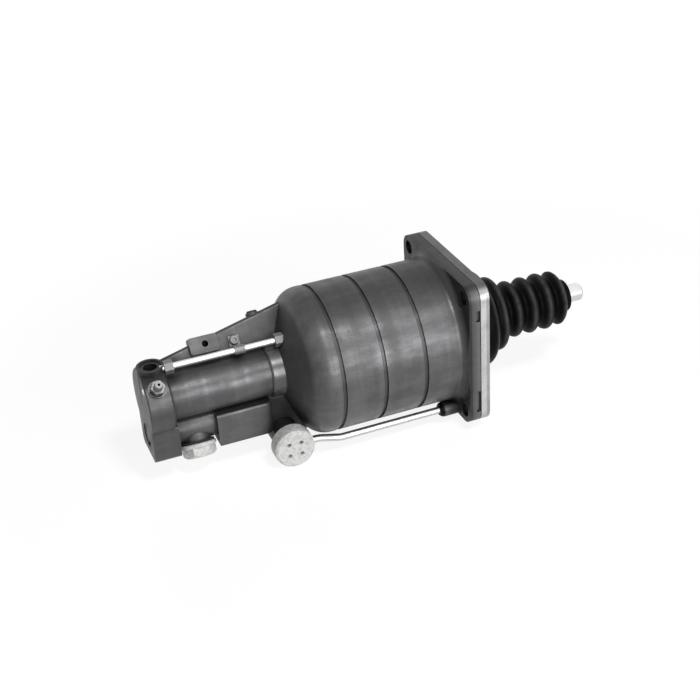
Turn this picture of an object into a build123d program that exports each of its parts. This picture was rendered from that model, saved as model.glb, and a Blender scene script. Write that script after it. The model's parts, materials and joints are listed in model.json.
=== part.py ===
"""Air-assisted hydraulic clutch servo, in millimetres.

The push rod and both cylinders lie along X, with +X towards the rod's tip and +Z up.
The origin is the centre of the mounting face, the front face of the steel end plate.
A lean is an angle round the X axis from +Z towards -Y, the side with the silencer.
"""

from build123d import *
from math import atan, cos, degrees, radians, sin, tan
import os

os.makedirs("parts", exist_ok=True)

# Mounting flange, gasket and end plate
flange_overhang = 2.0
flange_corner_radius = 11.0
flange_thickness = 8.5
gasket_thickness = 0.7
plate_thickness = 7.0
bolt_inset = 10.0
bolt_hole_diameter = 11.0
flange_fillet = 7.0
bolt_seat_diameter = 19.0
pry_notch_depth = 2.2
pry_notch_width = 3.2
upper_notch_length = 9.0
upper_notch_rise = 36.0
lower_notch_length = 18.0
lower_notch_drop = 37.0
plate_screw_diameter = 5.0
plate_screw_head = 8.6
plate_screw_inset = 6.5
plate_screw_rise = 30.0
plate_screw_length = 14.0

# Air cylinder and its domed shoulder
cylinder_bore = 102.0
cylinder_wall = 5.0
cylinder_length = 123.0
shoulder_angle = 66.0
shoulder_radius = 17.0
shoulder_wall = 5.5
spring_land_radius = 33.0
groove_count = 3
groove_setback = 33.8
groove_land = 5.3
groove_width = 3.4
groove_depth = 1.5

# Hydraulic cylinder behind it
hydraulic_bore = 28.57
hydraulic_wall = 4.2
hydraulic_depth = 107.3
collar_width = 9.5
collar_height = 2.1
boss_diameter = 51.0
boss_width = 18.5
end_wall = 7.5

# Cast rib from the end boss up to the shoulder
rib_lean = -32.0
rib_thickness = 12.0
rib_rear_height = 22.4
rib_front_height = 48.4
rib_edge_radius = 2.5
pad_length = 21.0
pad_height = 12.5
pad_proud = 4.0
pad_above_rib = 2.3
pad_setback = 52.0
bracket_hole_diameter = 5.0
bracket_hole_depth = 12.0

# Relay valve chest below the hydraulic cylinder
relay_bore = 18.0
relay_drop = 28.0
chest_width = 36.0
chest_top = 16.5
chest_bottom = 43.5
chest_corner = 4.0
lug_length = 20.0
notch_length = 29.0
block_length = 43.0
relay_boss_wall = 4.0
web_thickness = 16.0
web_drop = 56.0

# Relay line inside it, from its open end
snap_ring_setback = 0.6
snap_ring_width = 1.0
snap_ring_proud = 0.8
snap_ring_section = 1.8
end_plug_length = 3.4
relay_chamber = 1.5
relay_piston_length = 5.5
delivery_chamber = 6.5
seat_insert_length = 4.5
seat_hole_diameter = 10.0
seat_lip = 0.4
supply_chamber_diameter = 15.0
supply_chamber_length = 19.5
valve_guide_diameter = 7.1
valve_guide_length = 8.0
valve_disc_diameter = 13.4
valve_disc_width = 3.0
valve_face_thickness = 1.6
valve_tube_diameter = 7.0
valve_tube_hole = 3.6
exhaust_bore = 5.6
relay_stem_diameter = 6.0
valve_stroke_room = 2.5
lost_motion = 1.05
relay_spring_wire = 0.8
valve_spring_wire = 1.0
o_ring_section = 1.8

# Ports on the end boss and the chest
hydraulic_port_diameter = 10.4
hydraulic_port_depth = 11.0
port_drilling = 3.6
port_seat_diameter = 16.5
port_seat_depth = 1.2
hydraulic_port_setback = 9.5
port_boss_diameter = 20.0
port_boss_rise = 2.5
bleed_lean = 45.0
bleed_setback = 9.0
bleed_thread = 6.0
bleed_boss_diameter = 13.0
bleed_boss_rise = 1.5
bleed_hexagon = 9.0
bleed_height = 12.0
air_port_diameter = 14.0
air_port_tilt = 30.0
air_port_face = 13.5
air_port_boss_diameter = 21.0
air_port_washer = 1.5
air_plug_flange = 27.4
air_plug_hexagon = 22.0
air_plug_height = 10.5
passage_plug_setback = 24.4
passage_plug_diameter = 8.0
passage_plug_rise = 1.1
core_plug_diameter = 5.0
core_plug_lean = 39.0

# Air pipe from the end boss to the shoulder
air_pipe_diameter = 4.6
air_pipe_wall = 0.8
air_pipe_side = -4.0
air_pipe_rise = 25.7
air_pipe_nut_hexagon = 9.0
air_pipe_nut_length = 6.5
air_pipe_pocket = 2.5
gallery_radius = 20.0
gallery_diameter = 3.0
gallery_setback = 16.0
gallery_end = 168.0
pipe_insertion = 3.0
clip_setback = 75.0
clip_width = 8.0
clip_band = 1.0
clip_foot = 31.0
clip_screw_reach = 27.5

# Exhaust silencer and the vent pipe
silencer_diameter = 31.0
silencer_setback = 19.0
silencer_drop = 49.0
silencer_boss_diameter = 22.0
silencer_boss_side = 26.0
silencer_body_depth = 9.5
silencer_wall = 2.0
silencer_cap_thickness = 2.5
silencer_stub_diameter = 12.0
silencer_stub_length = 8.0
silencer_hole_diameter = 3.2
silencer_hole_spacing = 9.4
vent_pipe_diameter = 5.5
vent_pipe_wall = 1.0
vent_pipe_bend = 14.0
vent_boss_diameter = 12.0
vent_boss_length = 12.0
vent_end_side = 33.0
vent_end_inset = 5.5
vent_hole_diameter = 4.0
grommet_thickness = 1.5

# Push rod, pistons and boot
rod_diameter = 14.0
rod_free_length = 16.2
rod_tip_radius = 9.0
rod_groove_depth = 0.8
rod_groove_inset = 1.2
piston_gap = 2.0
piston_length = 38.0
piston_clearance = 0.4
piston_web = 8.0
piston_skirt = 8.6
piston_hub_diameter = 36.0
piston_hub_length = 21.0
piston_seal_width = 6.0
piston_seal_depth = 5.0
guide_ring_width = 8.0
guide_ring_depth = 2.5
nut_recess_diameter = 27.0
piston_nut_hexagon = 22.0
piston_nut_length = 6.0
rod_shoulder_diameter = 20.0
rod_shoulder_width = 4.0
spring_wire = 4.0
spring_turns = 6
spring_rear_radius = 25.0
spring_front_radius = 30.5
spring_seat_thickness = 1.5
spring_seat_margin = 4.5
spring_seat_lip = 4.0
spring_seat_port = 5.0
plunger_setback = 10.0
plunger_length = 45.0
plunger_rod_diameter = 12.0
plunger_socket_diameter = 10.0
plunger_socket_depth = 12.0
plunger_seal_width = 4.5
plunger_seal_depth = 3.6
bush_wall = 2.5
bush_length = 16.5
wiper_length = 3.6
wiper_wall = 4.2
hub_diameter = 30.0
hub_length = 16.0
spigot_diameter = 72.0
spigot_length = 10.0
spigot_wall = 6.0
bead_width = 3.0
bead_depth = 1.4
boot_cuff = 2.8
boot_shoulder = 15.5
boot_cone_end = 33.0
boot_cone_radius = 24.0
boot_wall = 2.1
boot_pitch = 13.5
boot_crests = 4
boot_crest_radius = 22.6
boot_valley_radius = 17.5
boot_fold_rounding = 1.6
boot_collar_length = 5.4
boot_collar_radius = 13.0

# Fits
running_fit = 0.05
seated_fit = 0.05
soft_gap = 0.3

# Small drillings, and the length of a cut that only has to get through
through = 20.0
passage_drilling = 5.0
small_hole_depth = 8.0
core_hole_depth = 5.0
clip_screw_diameter = 4.0
clip_screw_key = 3.0
plate_screw_key = 3.0
end_plug_key = 6.0
air_port_start = 4.0
nut_spot_share = 0.7
nut_pocket_clearance = 1.7
nut_pocket_gap = 1.0
silencer_pocket_end = 4.0
exhaust_slant_diameter = 4.4
exhaust_slant_side = 8.0
exhaust_slant_rise = 2.0
exhaust_slant_lean = 1.5
gasket_margin = 1.0
web_rear_step = 12.0
web_front_step = 4.0
web_knee = 22.0
web_knee_rise = 3.0
vent_straight = 5.0
vent_knee = 22.0

# Places along X and radii that follow from the sizes
flange_front = -plate_thickness - gasket_thickness
flange_rear = flange_front - flange_thickness
bore_radius = cylinder_bore / 2
cylinder_radius = bore_radius + cylinder_wall
hydraulic_radius = hydraulic_bore / 2
tube_radius = hydraulic_radius + hydraulic_wall
collar_radius = tube_radius + collar_height
flange_side = 2 * (cylinder_radius + flange_overhang)
half_side = flange_side / 2
bolt_spacing = flange_side - 2 * bolt_inset
plate_screw_side = half_side - plate_screw_inset
vent_end_drop = half_side - vent_end_inset
port_boss_height = boss_diameter / 2 + port_boss_rise
bleed_boss_height = boss_diameter / 2 + bleed_boss_rise
rod_radius = rod_diameter / 2
relay_radius = relay_bore / 2
slope_cos = cos(radians(shoulder_angle))
slope_sin = sin(radians(shoulder_angle))
shoulder_x = flange_front - cylinder_length
rounding_start = shoulder_x + shoulder_radius * tan(radians(shoulder_angle / 2))
groove_front = flange_rear - groove_setback
groove_pitch = (groove_front - rounding_start - groove_land) / (groove_count - 1)


def outer_slope_x(radius):
    """Place along X where the outside of the shoulder has this radius."""
    return shoulder_x - (cylinder_radius - radius) / slope_sin * slope_cos


def inner_slope_x(radius):
    """Place along X where the inside of the shoulder has this radius."""
    along = (cylinder_radius - shoulder_wall * slope_cos - radius) / slope_sin
    return shoulder_x + shoulder_wall * slope_sin - along * slope_cos


spring_land = inner_slope_x(spring_land_radius)
collar_front = outer_slope_x(collar_radius)
collar_rear = collar_front - collar_width
hydraulic_end = spring_land - hydraulic_depth
housing_rear = hydraulic_end - end_wall
lug_front = housing_rear + lug_length
block_rear = lug_front + notch_length
block_front = block_rear + block_length
port_x = housing_rear + hydraulic_port_setback
bleed_x = housing_rear + bleed_setback
gallery_x = housing_rear + gallery_setback
boss_face_x = housing_rear + boss_width
air_port_x = (lug_front + block_rear) / 2
silencer_x = shoulder_x - silencer_setback
pad_x = housing_rear + pad_setback
passage_plug_x = shoulder_x - passage_plug_setback
clip_x = housing_rear + clip_setback
pipe_distance = Vector(0, air_pipe_side, air_pipe_rise).length
pipe_face_x = outer_slope_x(pipe_distance) + air_pipe_pocket
rib_length = shoulder_x - housing_rear
snap_groove_x = housing_rear + snap_ring_setback
end_plug_x = snap_groove_x + snap_ring_width
relay_start_x = end_plug_x + end_plug_length + relay_chamber
relay_land_x = relay_start_x + relay_piston_length
seat_x = relay_land_x + delivery_chamber
seat_face_x = seat_x + seat_insert_length
valve_face_x = seat_face_x + soft_gap
supply_end_x = seat_face_x + supply_chamber_length
guide_end_x = supply_end_x + valve_guide_length
piston_front = -plate_thickness - piston_gap
piston_rear = piston_front - piston_length
web_rear = piston_front - piston_web
plunger_front = spring_land - plunger_setback
plunger_rear = plunger_front - plunger_length


def toward(lean):
    """Unit direction square to X at a lean."""
    return Vector(0, -sin(radians(lean)), cos(radians(lean)))


def rib_height(x):
    """Height of the rib's ridge from the X axis."""
    share = (x - housing_rear) / rib_length
    return rib_rear_height + (rib_front_height - rib_rear_height) * share


def radial_plane(x, lean):
    """Plane through the X axis, its own x along X and its own y towards the lean."""
    return Plane(origin=(x, 0, 0), x_dir=(1, 0, 0), z_dir=Vector(1, 0, 0).cross(toward(lean)))


def disc(radius, origin, direction):
    """Round sketch of this radius, square to a direction."""
    with BuildSketch(Plane(origin=origin, z_dir=direction)) as sketch:
        Circle(radius)
    return sketch.sketch


def hexagon(across_flats, hole, origin, direction, across):
    """Hexagonal sketch with a round hole, two of its flats square to the across direction."""
    with BuildSketch(Plane(origin=origin, x_dir=across, z_dir=direction)) as sketch:
        RegularPolygon(across_flats / 2, 6, major_radius=False)
        if hole > 0:
            Circle(hole, mode=Mode.SUBTRACT)
    return sketch.sketch


def outline(side, corner, x):
    """Square with rounded corners, square to X."""
    with BuildSketch(Plane.YZ.offset(x)) as sketch:
        RectangleRounded(side, side, corner)
    return sketch.sketch


def four_holes(diameter, width, height, x):
    """Four round holes on a rectangle, square to X."""
    with BuildSketch(Plane.YZ.offset(x)) as sketch:
        with GridLocations(width, height, 2, 2):
            Circle(diameter / 2)
    return sketch.sketch


def section(profile, plane=Plane.XY):
    """Closed half profile as points (along the plane's x, radius)."""
    with BuildSketch(plane) as sketch:
        with BuildLine():
            Polyline(*profile, close=True)
        make_face()
    return sketch.sketch


def turned(profile, plane=Plane.XY):
    """Piece turned round the plane's x axis from its half profile."""
    with BuildPart() as piece:
        revolve(section(profile, plane), axis=Axis(plane.origin, plane.x_dir))
    return piece


def ring(rear, front, inner, outer, plane=Plane.XY):
    """Plain ring between two places along the axis."""
    return turned([(rear, inner), (front, inner), (front, outer), (rear, outer)], plane)


def round_ring(middle, inner, outer, plane=Plane.XY):
    """Ring of round section that fills a groove of this depth."""
    with BuildPart() as piece:
        with BuildSketch(plane):
            with Locations((middle, (inner + outer) / 2)):
                Circle((outer - inner) / 2)
        revolve(axis=Axis(plane.origin, plane.x_dir))
    return piece


def coil_spring(rear, front, rear_radius, front_radius, wire, turns, height=0.0):
    """Open coil spring along X whose wire keeps between its two ends."""
    length = front - rear - wire
    taper = degrees(atan((front_radius - rear_radius) / length))
    start = (rear + wire / 2, 0, height)
    with BuildPart() as spring:
        with BuildLine() as coil:
            Helix(length / turns, length, rear_radius, start, (1, 0, 0), taper)
        with BuildSketch(Plane(origin=coil.line @ 0, z_dir=coil.line % 0)):
            Circle(wire / 2)
        sweep(is_frenet=True)
    return spring


rib_plane = radial_plane(0, rib_lean)
rib_normal = rib_plane.z_dir
rib_up = toward(rib_lean)
relay_plane = Plane(origin=(0, 0, -relay_drop), x_dir=(1, 0, 0), z_dir=(0, 0, 1))
air_port_direction = toward(180 - air_port_tilt)
air_port_origin = Vector(air_port_x, 0, -relay_drop)
air_port_plane = Plane(origin=air_port_origin, x_dir=air_port_direction, z_dir=(1, 0, 0))
bleed_plane = Plane(origin=(bleed_x, 0, 0), x_dir=toward(bleed_lean), z_dir=(1, 0, 0))
silencer_mouth = Vector(silencer_x, -silencer_boss_side, -silencer_drop)
silencer_plane = Plane(origin=silencer_mouth, x_dir=(0, -1, 0), z_dir=(1, 0, 0))
pad_middle = rib_height(pad_x) + pad_above_rib - pad_height / 2
passage_plug_top = rib_height(passage_plug_x) + passage_plug_rise
passage_plug_origin = Vector(passage_plug_x, 0, 0) + rib_up * passage_plug_top
passage_plug_plane = Plane(origin=passage_plug_origin, x_dir=rib_up, z_dir=(1, 0, 0))
core_plug_origin = Vector(housing_rear, 0, 0) + toward(core_plug_lean) * gallery_radius
pipe_lean = degrees(atan(-air_pipe_side / air_pipe_rise))
vent_boss_x = flange_rear - vent_boss_length
vent_distance = Vector(0, vent_end_side, vent_end_drop).length
vent_lean = 90 + degrees(atan(vent_end_drop / vent_end_side))

# Rib with rounded ridge and the pad on its near face
with BuildPart() as rib:
    with BuildSketch(rib_plane):
        with BuildLine():
            Polyline(
                (housing_rear, tube_radius / 2),
                (housing_rear, rib_rear_height),
                (shoulder_x, rib_front_height),
                (shoulder_x, tube_radius / 2),
                close=True,
            )
        make_face()
    extrude(amount=rib_thickness / 2, both=True)
    long_edges = edges().filter_by(GeomType.LINE).sort_by(Edge.length)[-4:]
    fillet(long_edges.sort_by(lambda edge: edge.center().dot(rib_up))[-2:], rib_edge_radius)
    with BuildSketch(rib_plane):
        with Locations((pad_x, pad_middle)):
            RectangleRounded(pad_length, pad_height, 2.0)
    extrude(amount=rib_thickness / 2 + pad_proud)
    spot = passage_plug_origin - rib_up * 9
    extrude(disc(passage_plug_diameter / 2 + 1, spot, rib_up), amount=9)

# Lug and block of the valve chest, with rounded edges
chest_height = chest_bottom - chest_top
chest_middle = -(chest_bottom + chest_top) / 2
with BuildPart() as lug:
    with BuildSketch(Plane.YZ.offset(housing_rear)):
        with Locations((0, chest_middle)):
            Rectangle(chest_width, chest_height)
    extrude(amount=lug_length)
    fillet(edges().filter_by(Axis.X).group_by(Axis.Z)[0], chest_corner)
    fillet(edges().filter_by(Axis.X).group_by(Axis.Z)[-1], chest_corner / 2)

with BuildPart() as block:
    with BuildSketch(Plane.YZ.offset(block_rear)):
        with Locations((0, chest_middle)):
            Rectangle(chest_width, chest_height)
    extrude(amount=block_length)
    fillet(edges().filter_by(Axis.Z).group_by(Axis.X)[-1], chest_corner * 1.5)
    fillet(edges().group_by(Axis.Z)[0], chest_corner / 2)
    fillet(edges().filter_by(Axis.X).group_by(Axis.Z)[-1], chest_corner / 2)

# Housing: one aluminium casting with both cylinders, the rib and the valve chest
with BuildPart() as housing:
    # square flange, filleted to the cylinder at its corners
    with BuildSketch():
        with BuildLine():
            Polyline(
                (flange_rear, cylinder_radius + flange_fillet),
                (flange_front, cylinder_radius + flange_fillet),
                (flange_front, 0),
                (flange_rear - flange_fillet, 0),
                (flange_rear - flange_fillet, cylinder_radius),
            )
            RadiusArc(
                (flange_rear - flange_fillet, cylinder_radius),
                (flange_rear, cylinder_radius + flange_fillet),
                -flange_fillet,
            )
        make_face()
    revolve(axis=Axis.X)
    flange_blank = outline(flange_side, flange_corner_radius, flange_rear - flange_fillet)
    extrude(flange_blank, amount=flange_thickness + flange_fillet, mode=Mode.INTERSECT)
    extrude(outline(flange_side, flange_corner_radius, flange_rear), amount=flange_thickness)
    # air cylinder, domed shoulder and collar
    with BuildSketch() as body_profile:
        with BuildLine():
            Polyline(
                (flange_front, 0),
                (flange_front, cylinder_radius),
                (shoulder_x, cylinder_radius),
                (collar_front, collar_radius),
                (collar_rear + collar_height / 2, collar_radius),
                (collar_rear, collar_radius - collar_height / 2),
                (collar_rear, 0),
                close=True,
            )
        make_face()
        shoulder = body_profile.vertices().group_by(Axis.Y)[-1].sort_by(Axis.X)[0]
        fillet(shoulder, shoulder_radius)
    revolve(axis=Axis.X)
    # hydraulic cylinder and its end boss
    extrude(disc(tube_radius, (housing_rear, 0, 0), (1, 0, 0)), amount=collar_front - housing_rear)
    with BuildSketch():
        with BuildLine():
            Polyline(
                (housing_rear, 0),
                (housing_rear, boss_diameter / 2 - 1),
                (housing_rear + 1, boss_diameter / 2),
                (boss_face_x - 1.5, boss_diameter / 2),
                (boss_face_x, boss_diameter / 2 - 1.5),
                (boss_face_x, 0),
                close=True,
            )
        make_face()
    revolve(axis=Axis.X)
    add(rib.part)
    add(lug.part)
    add(block.part)
    # barrel of the relay line and the web that ties the block to the dome
    barrel = disc(relay_radius + relay_boss_wall, (housing_rear, 0, -relay_drop), (1, 0, 0))
    extrude(barrel, amount=block_front - housing_rear)
    with BuildSketch(Plane.XZ):
        with BuildLine():
            Polyline(
                (block_front - web_rear_step, -tube_radius / 2),
                (block_front - web_rear_step, -chest_bottom + 0.5),
                (block_front - web_front_step, -chest_bottom + 0.5),
                (silencer_x, -web_drop),
                (silencer_x + web_knee, -web_drop + web_knee_rise),
                (shoulder_x + cylinder_wall, -cylinder_radius + cylinder_wall),
                (shoulder_x + cylinder_wall, -tube_radius / 2),
                close=True,
            )
        make_face()
    extrude(amount=web_thickness / 2, both=True)
    # bosses of the silencer, the ports, the bleed screw and the vent pipe
    silencer_boss = disc(silencer_boss_diameter / 2, silencer_mouth, (0, 1, 0))
    extrude(silencer_boss, amount=silencer_boss_side + web_thickness / 2)
    extrude(disc(port_boss_diameter / 2, (port_x, 0, 0), (0, 0, 1)), amount=port_boss_height)
    bleed_boss = disc(bleed_boss_diameter / 2, (bleed_x, 0, 0), toward(bleed_lean))
    extrude(bleed_boss, amount=bleed_boss_height)
    air_boss = disc(air_port_boss_diameter / 2, air_port_origin, air_port_direction)
    extrude(air_boss, amount=air_port_face)
    vent_socket = (vent_boss_x, -vent_end_side, -vent_end_drop)
    extrude(disc(vent_boss_diameter / 2, vent_socket, (1, 0, 0)), amount=vent_boss_length)

    # air cylinder bore and the inside of the shoulder down to the spring's land
    cavity = [
        (flange_front, 0),
        (flange_front, bore_radius),
        (inner_slope_x(bore_radius), bore_radius),
        (spring_land, spring_land_radius),
        (spring_land, 0),
    ]
    revolve(section(cavity), axis=Axis.X, mode=Mode.SUBTRACT)
    # hydraulic bore with a chamfered mouth
    hydraulic = [
        (hydraulic_end, 0),
        (hydraulic_end, hydraulic_radius),
        (spring_land - 1, hydraulic_radius),
        (spring_land, hydraulic_radius + 1),
        (spring_land, 0),
    ]
    revolve(section(hydraulic), axis=Axis.X, mode=Mode.SUBTRACT)
    # shallow grooves round the air cylinder
    with BuildSketch():
        for i in range(groove_count):
            with Locations((groove_front - i * groove_pitch, cylinder_radius)):
                Rectangle(groove_width, 2 * groove_depth)
    revolve(axis=Axis.X, mode=Mode.SUBTRACT)
    # relay line: stepped bore from the open end, with two snap ring grooves
    relay_line = [
        (housing_rear, 0),
        (housing_rear, relay_radius),
        (snap_groove_x, relay_radius),
        (snap_groove_x, relay_radius + snap_ring_proud),
        (end_plug_x, relay_radius + snap_ring_proud),
        (end_plug_x, relay_radius),
        (seat_x - snap_ring_width, relay_radius),
        (seat_x - snap_ring_width, relay_radius + snap_ring_proud),
        (seat_x, relay_radius + snap_ring_proud),
        (seat_x, relay_radius),
        (seat_face_x, relay_radius),
        (seat_face_x, supply_chamber_diameter / 2),
        (supply_end_x, supply_chamber_diameter / 2),
        (supply_end_x, valve_guide_diameter / 2),
        (guide_end_x, valve_guide_diameter / 2),
        (guide_end_x, exhaust_bore / 2),
        (silencer_x, exhaust_bore / 2),
        (silencer_x, 0),
    ]
    relay_axis = Axis(relay_plane.origin, relay_plane.x_dir)
    revolve(section(relay_line, relay_plane), axis=relay_axis, mode=Mode.SUBTRACT)
    # drilled link from the relay chamber up to the hydraulic bore
    link_start = Vector(end_plug_x + end_plug_length + 0.9, 0, -relay_drop + relay_radius - 2)
    link_end = Vector(hydraulic_end + 2.2, 0, -hydraulic_radius + 1)
    link = disc(1.1, link_start, link_end - link_start)
    extrude(link, amount=(link_end - link_start).length, mode=Mode.SUBTRACT)
    # hydraulic port, bleed hole and air port
    port_seat = disc(port_seat_diameter / 2, (port_x, 0, port_boss_height), (0, 0, -1))
    extrude(port_seat, amount=port_seat_depth, mode=Mode.SUBTRACT)
    port_mouth = (port_x, 0, port_boss_height - port_seat_depth)
    port = disc(hydraulic_port_diameter / 2, port_mouth, (0, 0, -1))
    extrude(port, amount=hydraulic_port_depth, mode=Mode.SUBTRACT)
    extrude(disc(port_drilling / 2, (port_x, 0, 0), (0, 0, 1)), amount=port_boss_height, mode=Mode.SUBTRACT)
    bleed_hole = disc(bleed_thread / 2, (bleed_x, 0, 0), toward(bleed_lean))
    extrude(bleed_hole, amount=bleed_boss_height, mode=Mode.SUBTRACT)
    air_hole_start = air_port_origin + air_port_direction * air_port_start
    air_hole = disc(air_port_diameter / 2, air_hole_start, air_port_direction)
    extrude(air_hole, amount=air_port_face - air_port_start, mode=Mode.SUBTRACT)
    # air gallery round the hydraulic bore, its feed to the pipe and the pipe's two sockets
    with BuildSketch(radial_plane(gallery_x, pipe_lean)):
        with Locations((0, gallery_radius)):
            Circle(gallery_diameter / 2)
    revolve(axis=Axis.X, revolution_arc=gallery_end - pipe_lean, mode=Mode.SUBTRACT)
    feed_start = Vector(gallery_x, 0, 0) + toward(pipe_lean) * gallery_radius
    feed = disc(gallery_diameter / 2, feed_start, toward(pipe_lean))
    extrude(feed, amount=pipe_distance - gallery_radius, mode=Mode.SUBTRACT)
    socket_x = boss_face_x - pipe_insertion
    socket_rear = (socket_x, air_pipe_side, air_pipe_rise)
    socket = disc(air_pipe_diameter / 2 + seated_fit, socket_rear, (1, 0, 0))
    extrude(socket, amount=2 * pipe_insertion, mode=Mode.SUBTRACT)
    nut_place = (boss_face_x, air_pipe_side, air_pipe_rise)
    nut_seat = disc(air_pipe_nut_hexagon * nut_spot_share, nut_place, (1, 0, 0))
    extrude(nut_seat, amount=air_pipe_nut_length, mode=Mode.SUBTRACT)
    nut_pocket_length = air_pipe_nut_length + nut_pocket_gap
    nut_pocket = (pipe_face_x - nut_pocket_length, air_pipe_side, air_pipe_rise)
    pocket_radius = air_pipe_nut_hexagon / 2 + nut_pocket_clearance
    extrude(disc(pocket_radius, nut_pocket, (1, 0, 0)), amount=nut_pocket_length, mode=Mode.SUBTRACT)
    pipe_way = (pipe_face_x, air_pipe_side, air_pipe_rise)
    pipe_hole = disc(air_pipe_diameter / 2 + seated_fit, pipe_way, (1, 0, 0))
    extrude(pipe_hole, amount=pipe_insertion, mode=Mode.SUBTRACT)
    extrude(disc(gallery_diameter / 2, pipe_way, (1, 0, 0)), amount=through, mode=Mode.SUBTRACT)
    # silencer pocket and the slanted drilling from it up to the exhaust line
    stub_pocket = disc(silencer_stub_diameter / 2, silencer_mouth, (0, 1, 0))
    extrude(stub_pocket, amount=silencer_boss_side - silencer_pocket_end, mode=Mode.SUBTRACT)
    slant_start = Vector(silencer_x, -exhaust_slant_side, exhaust_slant_rise - silencer_drop)
    slant_end = Vector(silencer_x - exhaust_slant_lean, 0, -relay_drop)
    slant = disc(exhaust_slant_diameter / 2, slant_start, slant_end - slant_start)
    extrude(slant, amount=(slant_end - slant_start).length, mode=Mode.SUBTRACT)
    # vent passage through the flange and its slot to the bore
    vent_pipe_hole = disc(vent_pipe_diameter / 2 + seated_fit, vent_socket, (1, 0, 0))
    extrude(vent_pipe_hole, amount=2 * pipe_insertion, mode=Mode.SUBTRACT)
    vent_hole = disc(vent_hole_diameter / 2, vent_socket, (1, 0, 0))
    extrude(vent_hole, amount=flange_front - vent_boss_x, mode=Mode.SUBTRACT)
    with BuildSketch(radial_plane(0, vent_lean)):
        with Locations((flange_front - 1, (vent_distance + bore_radius) / 2)):
            Rectangle(2, vent_distance - bore_radius + 2)
    extrude(amount=vent_hole_diameter / 2, both=True, mode=Mode.SUBTRACT)
    # mounting holes, plate screw holes, bracket hole, plug holes and clip screw hole
    bolt_holes = four_holes(bolt_hole_diameter, bolt_spacing, bolt_spacing, flange_rear)
    extrude(bolt_holes, amount=flange_thickness, mode=Mode.SUBTRACT)
    bolt_seats = four_holes(bolt_seat_diameter, bolt_spacing, bolt_spacing, flange_rear)
    extrude(bolt_seats, amount=-flange_fillet, mode=Mode.SUBTRACT)
    screw_holes = four_holes(
        plate_screw_diameter, 2 * plate_screw_side, 2 * plate_screw_rise, flange_front
    )
    extrude(screw_holes, amount=-(plate_screw_length + flange_front + 0.5), mode=Mode.SUBTRACT)
    pad_face = rib_thickness / 2 + pad_proud
    pad_hole = rib_plane.from_local_coords(Vector(pad_x + 1, pad_middle, pad_face))
    bracket_hole = disc(bracket_hole_diameter / 2, pad_hole, -rib_normal)
    extrude(bracket_hole, amount=bracket_hole_depth, mode=Mode.SUBTRACT)
    plug_hole = disc(passage_drilling / 2, passage_plug_origin, -rib_up)
    extrude(plug_hole, amount=small_hole_depth, mode=Mode.SUBTRACT)
    core_hole = disc(core_plug_diameter / 2, core_plug_origin, (1, 0, 0))
    extrude(core_hole, amount=core_hole_depth, mode=Mode.SUBTRACT)
    clip_hole = rib_plane.from_local_coords(Vector(clip_x, clip_screw_reach, rib_thickness / 2))
    clip_drilling = disc(clip_screw_diameter / 2, clip_hole, -rib_normal)
    extrude(clip_drilling, amount=small_hole_depth, mode=Mode.SUBTRACT)
    # notches to pry the end plate off
    with BuildSketch(Plane.XZ.offset(half_side - pry_notch_depth)):
        with Locations((flange_front - pry_notch_width / 2, upper_notch_rise)):
            Rectangle(pry_notch_width, upper_notch_length)
        with Locations((flange_front - pry_notch_width / 2, -lower_notch_drop)):
            Rectangle(pry_notch_width, lower_notch_length)
    extrude(amount=pry_notch_depth, mode=Mode.SUBTRACT)

# Steel end plate with the boot's spigot and the rod's hub
with BuildPart() as end_plate:
    extrude(outline(flange_side, flange_corner_radius, 0), amount=-plate_thickness)
    spigot_radius = spigot_diameter / 2
    bead_rear = spigot_length / 2 - bead_width / 2
    spigot = [
        (-1, spigot_radius - spigot_wall),
        (spigot_length, spigot_radius - spigot_wall),
        (spigot_length, spigot_radius - 1),
        (spigot_length - 1, spigot_radius),
        (bead_rear + bead_width, spigot_radius),
        (bead_rear + bead_width, spigot_radius - bead_depth),
        (bead_rear, spigot_radius - bead_depth),
        (bead_rear, spigot_radius),
        (-1, spigot_radius),
    ]
    revolve(section(spigot), axis=Axis.X)
    bush_radius = rod_radius + running_fit + bush_wall
    wiper_radius = rod_radius + soft_gap + wiper_wall
    bush_end = bush_length - plate_thickness
    hub = [
        (-1, bush_radius - 1),
        (hub_length, bush_radius - 1),
        (hub_length, hub_diameter / 2 - 1),
        (hub_length - 1, hub_diameter / 2),
        (-1, hub_diameter / 2),
    ]
    revolve(section(hub), axis=Axis.X)
    bush_seat = [
        (-plate_thickness, 0),
        (-plate_thickness, bush_radius + seated_fit),
        (bush_end, bush_radius + seated_fit),
        (bush_end, bush_radius - 1),
        (hub_length - wiper_length - 1, bush_radius - 1),
        (hub_length - wiper_length - 1, wiper_radius + seated_fit),
        (hub_length, wiper_radius + seated_fit),
        (hub_length, 0),
    ]
    revolve(section(bush_seat), axis=Axis.X, mode=Mode.SUBTRACT)
    bolt_holes = four_holes(bolt_hole_diameter, bolt_spacing, bolt_spacing, 0)
    extrude(bolt_holes, amount=-plate_thickness, mode=Mode.SUBTRACT)
    with Locations(Plane.YZ):
        with GridLocations(2 * plate_screw_side, 2 * plate_screw_rise, 2, 2):
            CounterSinkHole(plate_screw_diameter / 2 + 0.2, plate_screw_head / 2 + 0.2, plate_thickness)

with BuildPart() as gasket:
    gasket_side = flange_side - gasket_margin
    extrude(outline(gasket_side, flange_corner_radius, -plate_thickness), amount=-gasket_thickness)
    extrude(disc(bore_radius + gasket_margin, (0, 0, 0), (-1, 0, 0)), amount=through, mode=Mode.SUBTRACT)
    clearance_holes = four_holes(bolt_hole_diameter + gasket_margin, bolt_spacing, bolt_spacing, 0)
    extrude(clearance_holes, amount=-through, mode=Mode.SUBTRACT)
    clearance_holes = four_holes(
        plate_screw_diameter + gasket_margin, 2 * plate_screw_side, 2 * plate_screw_rise, 0
    )
    extrude(clearance_holes, amount=-through, mode=Mode.SUBTRACT)

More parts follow.
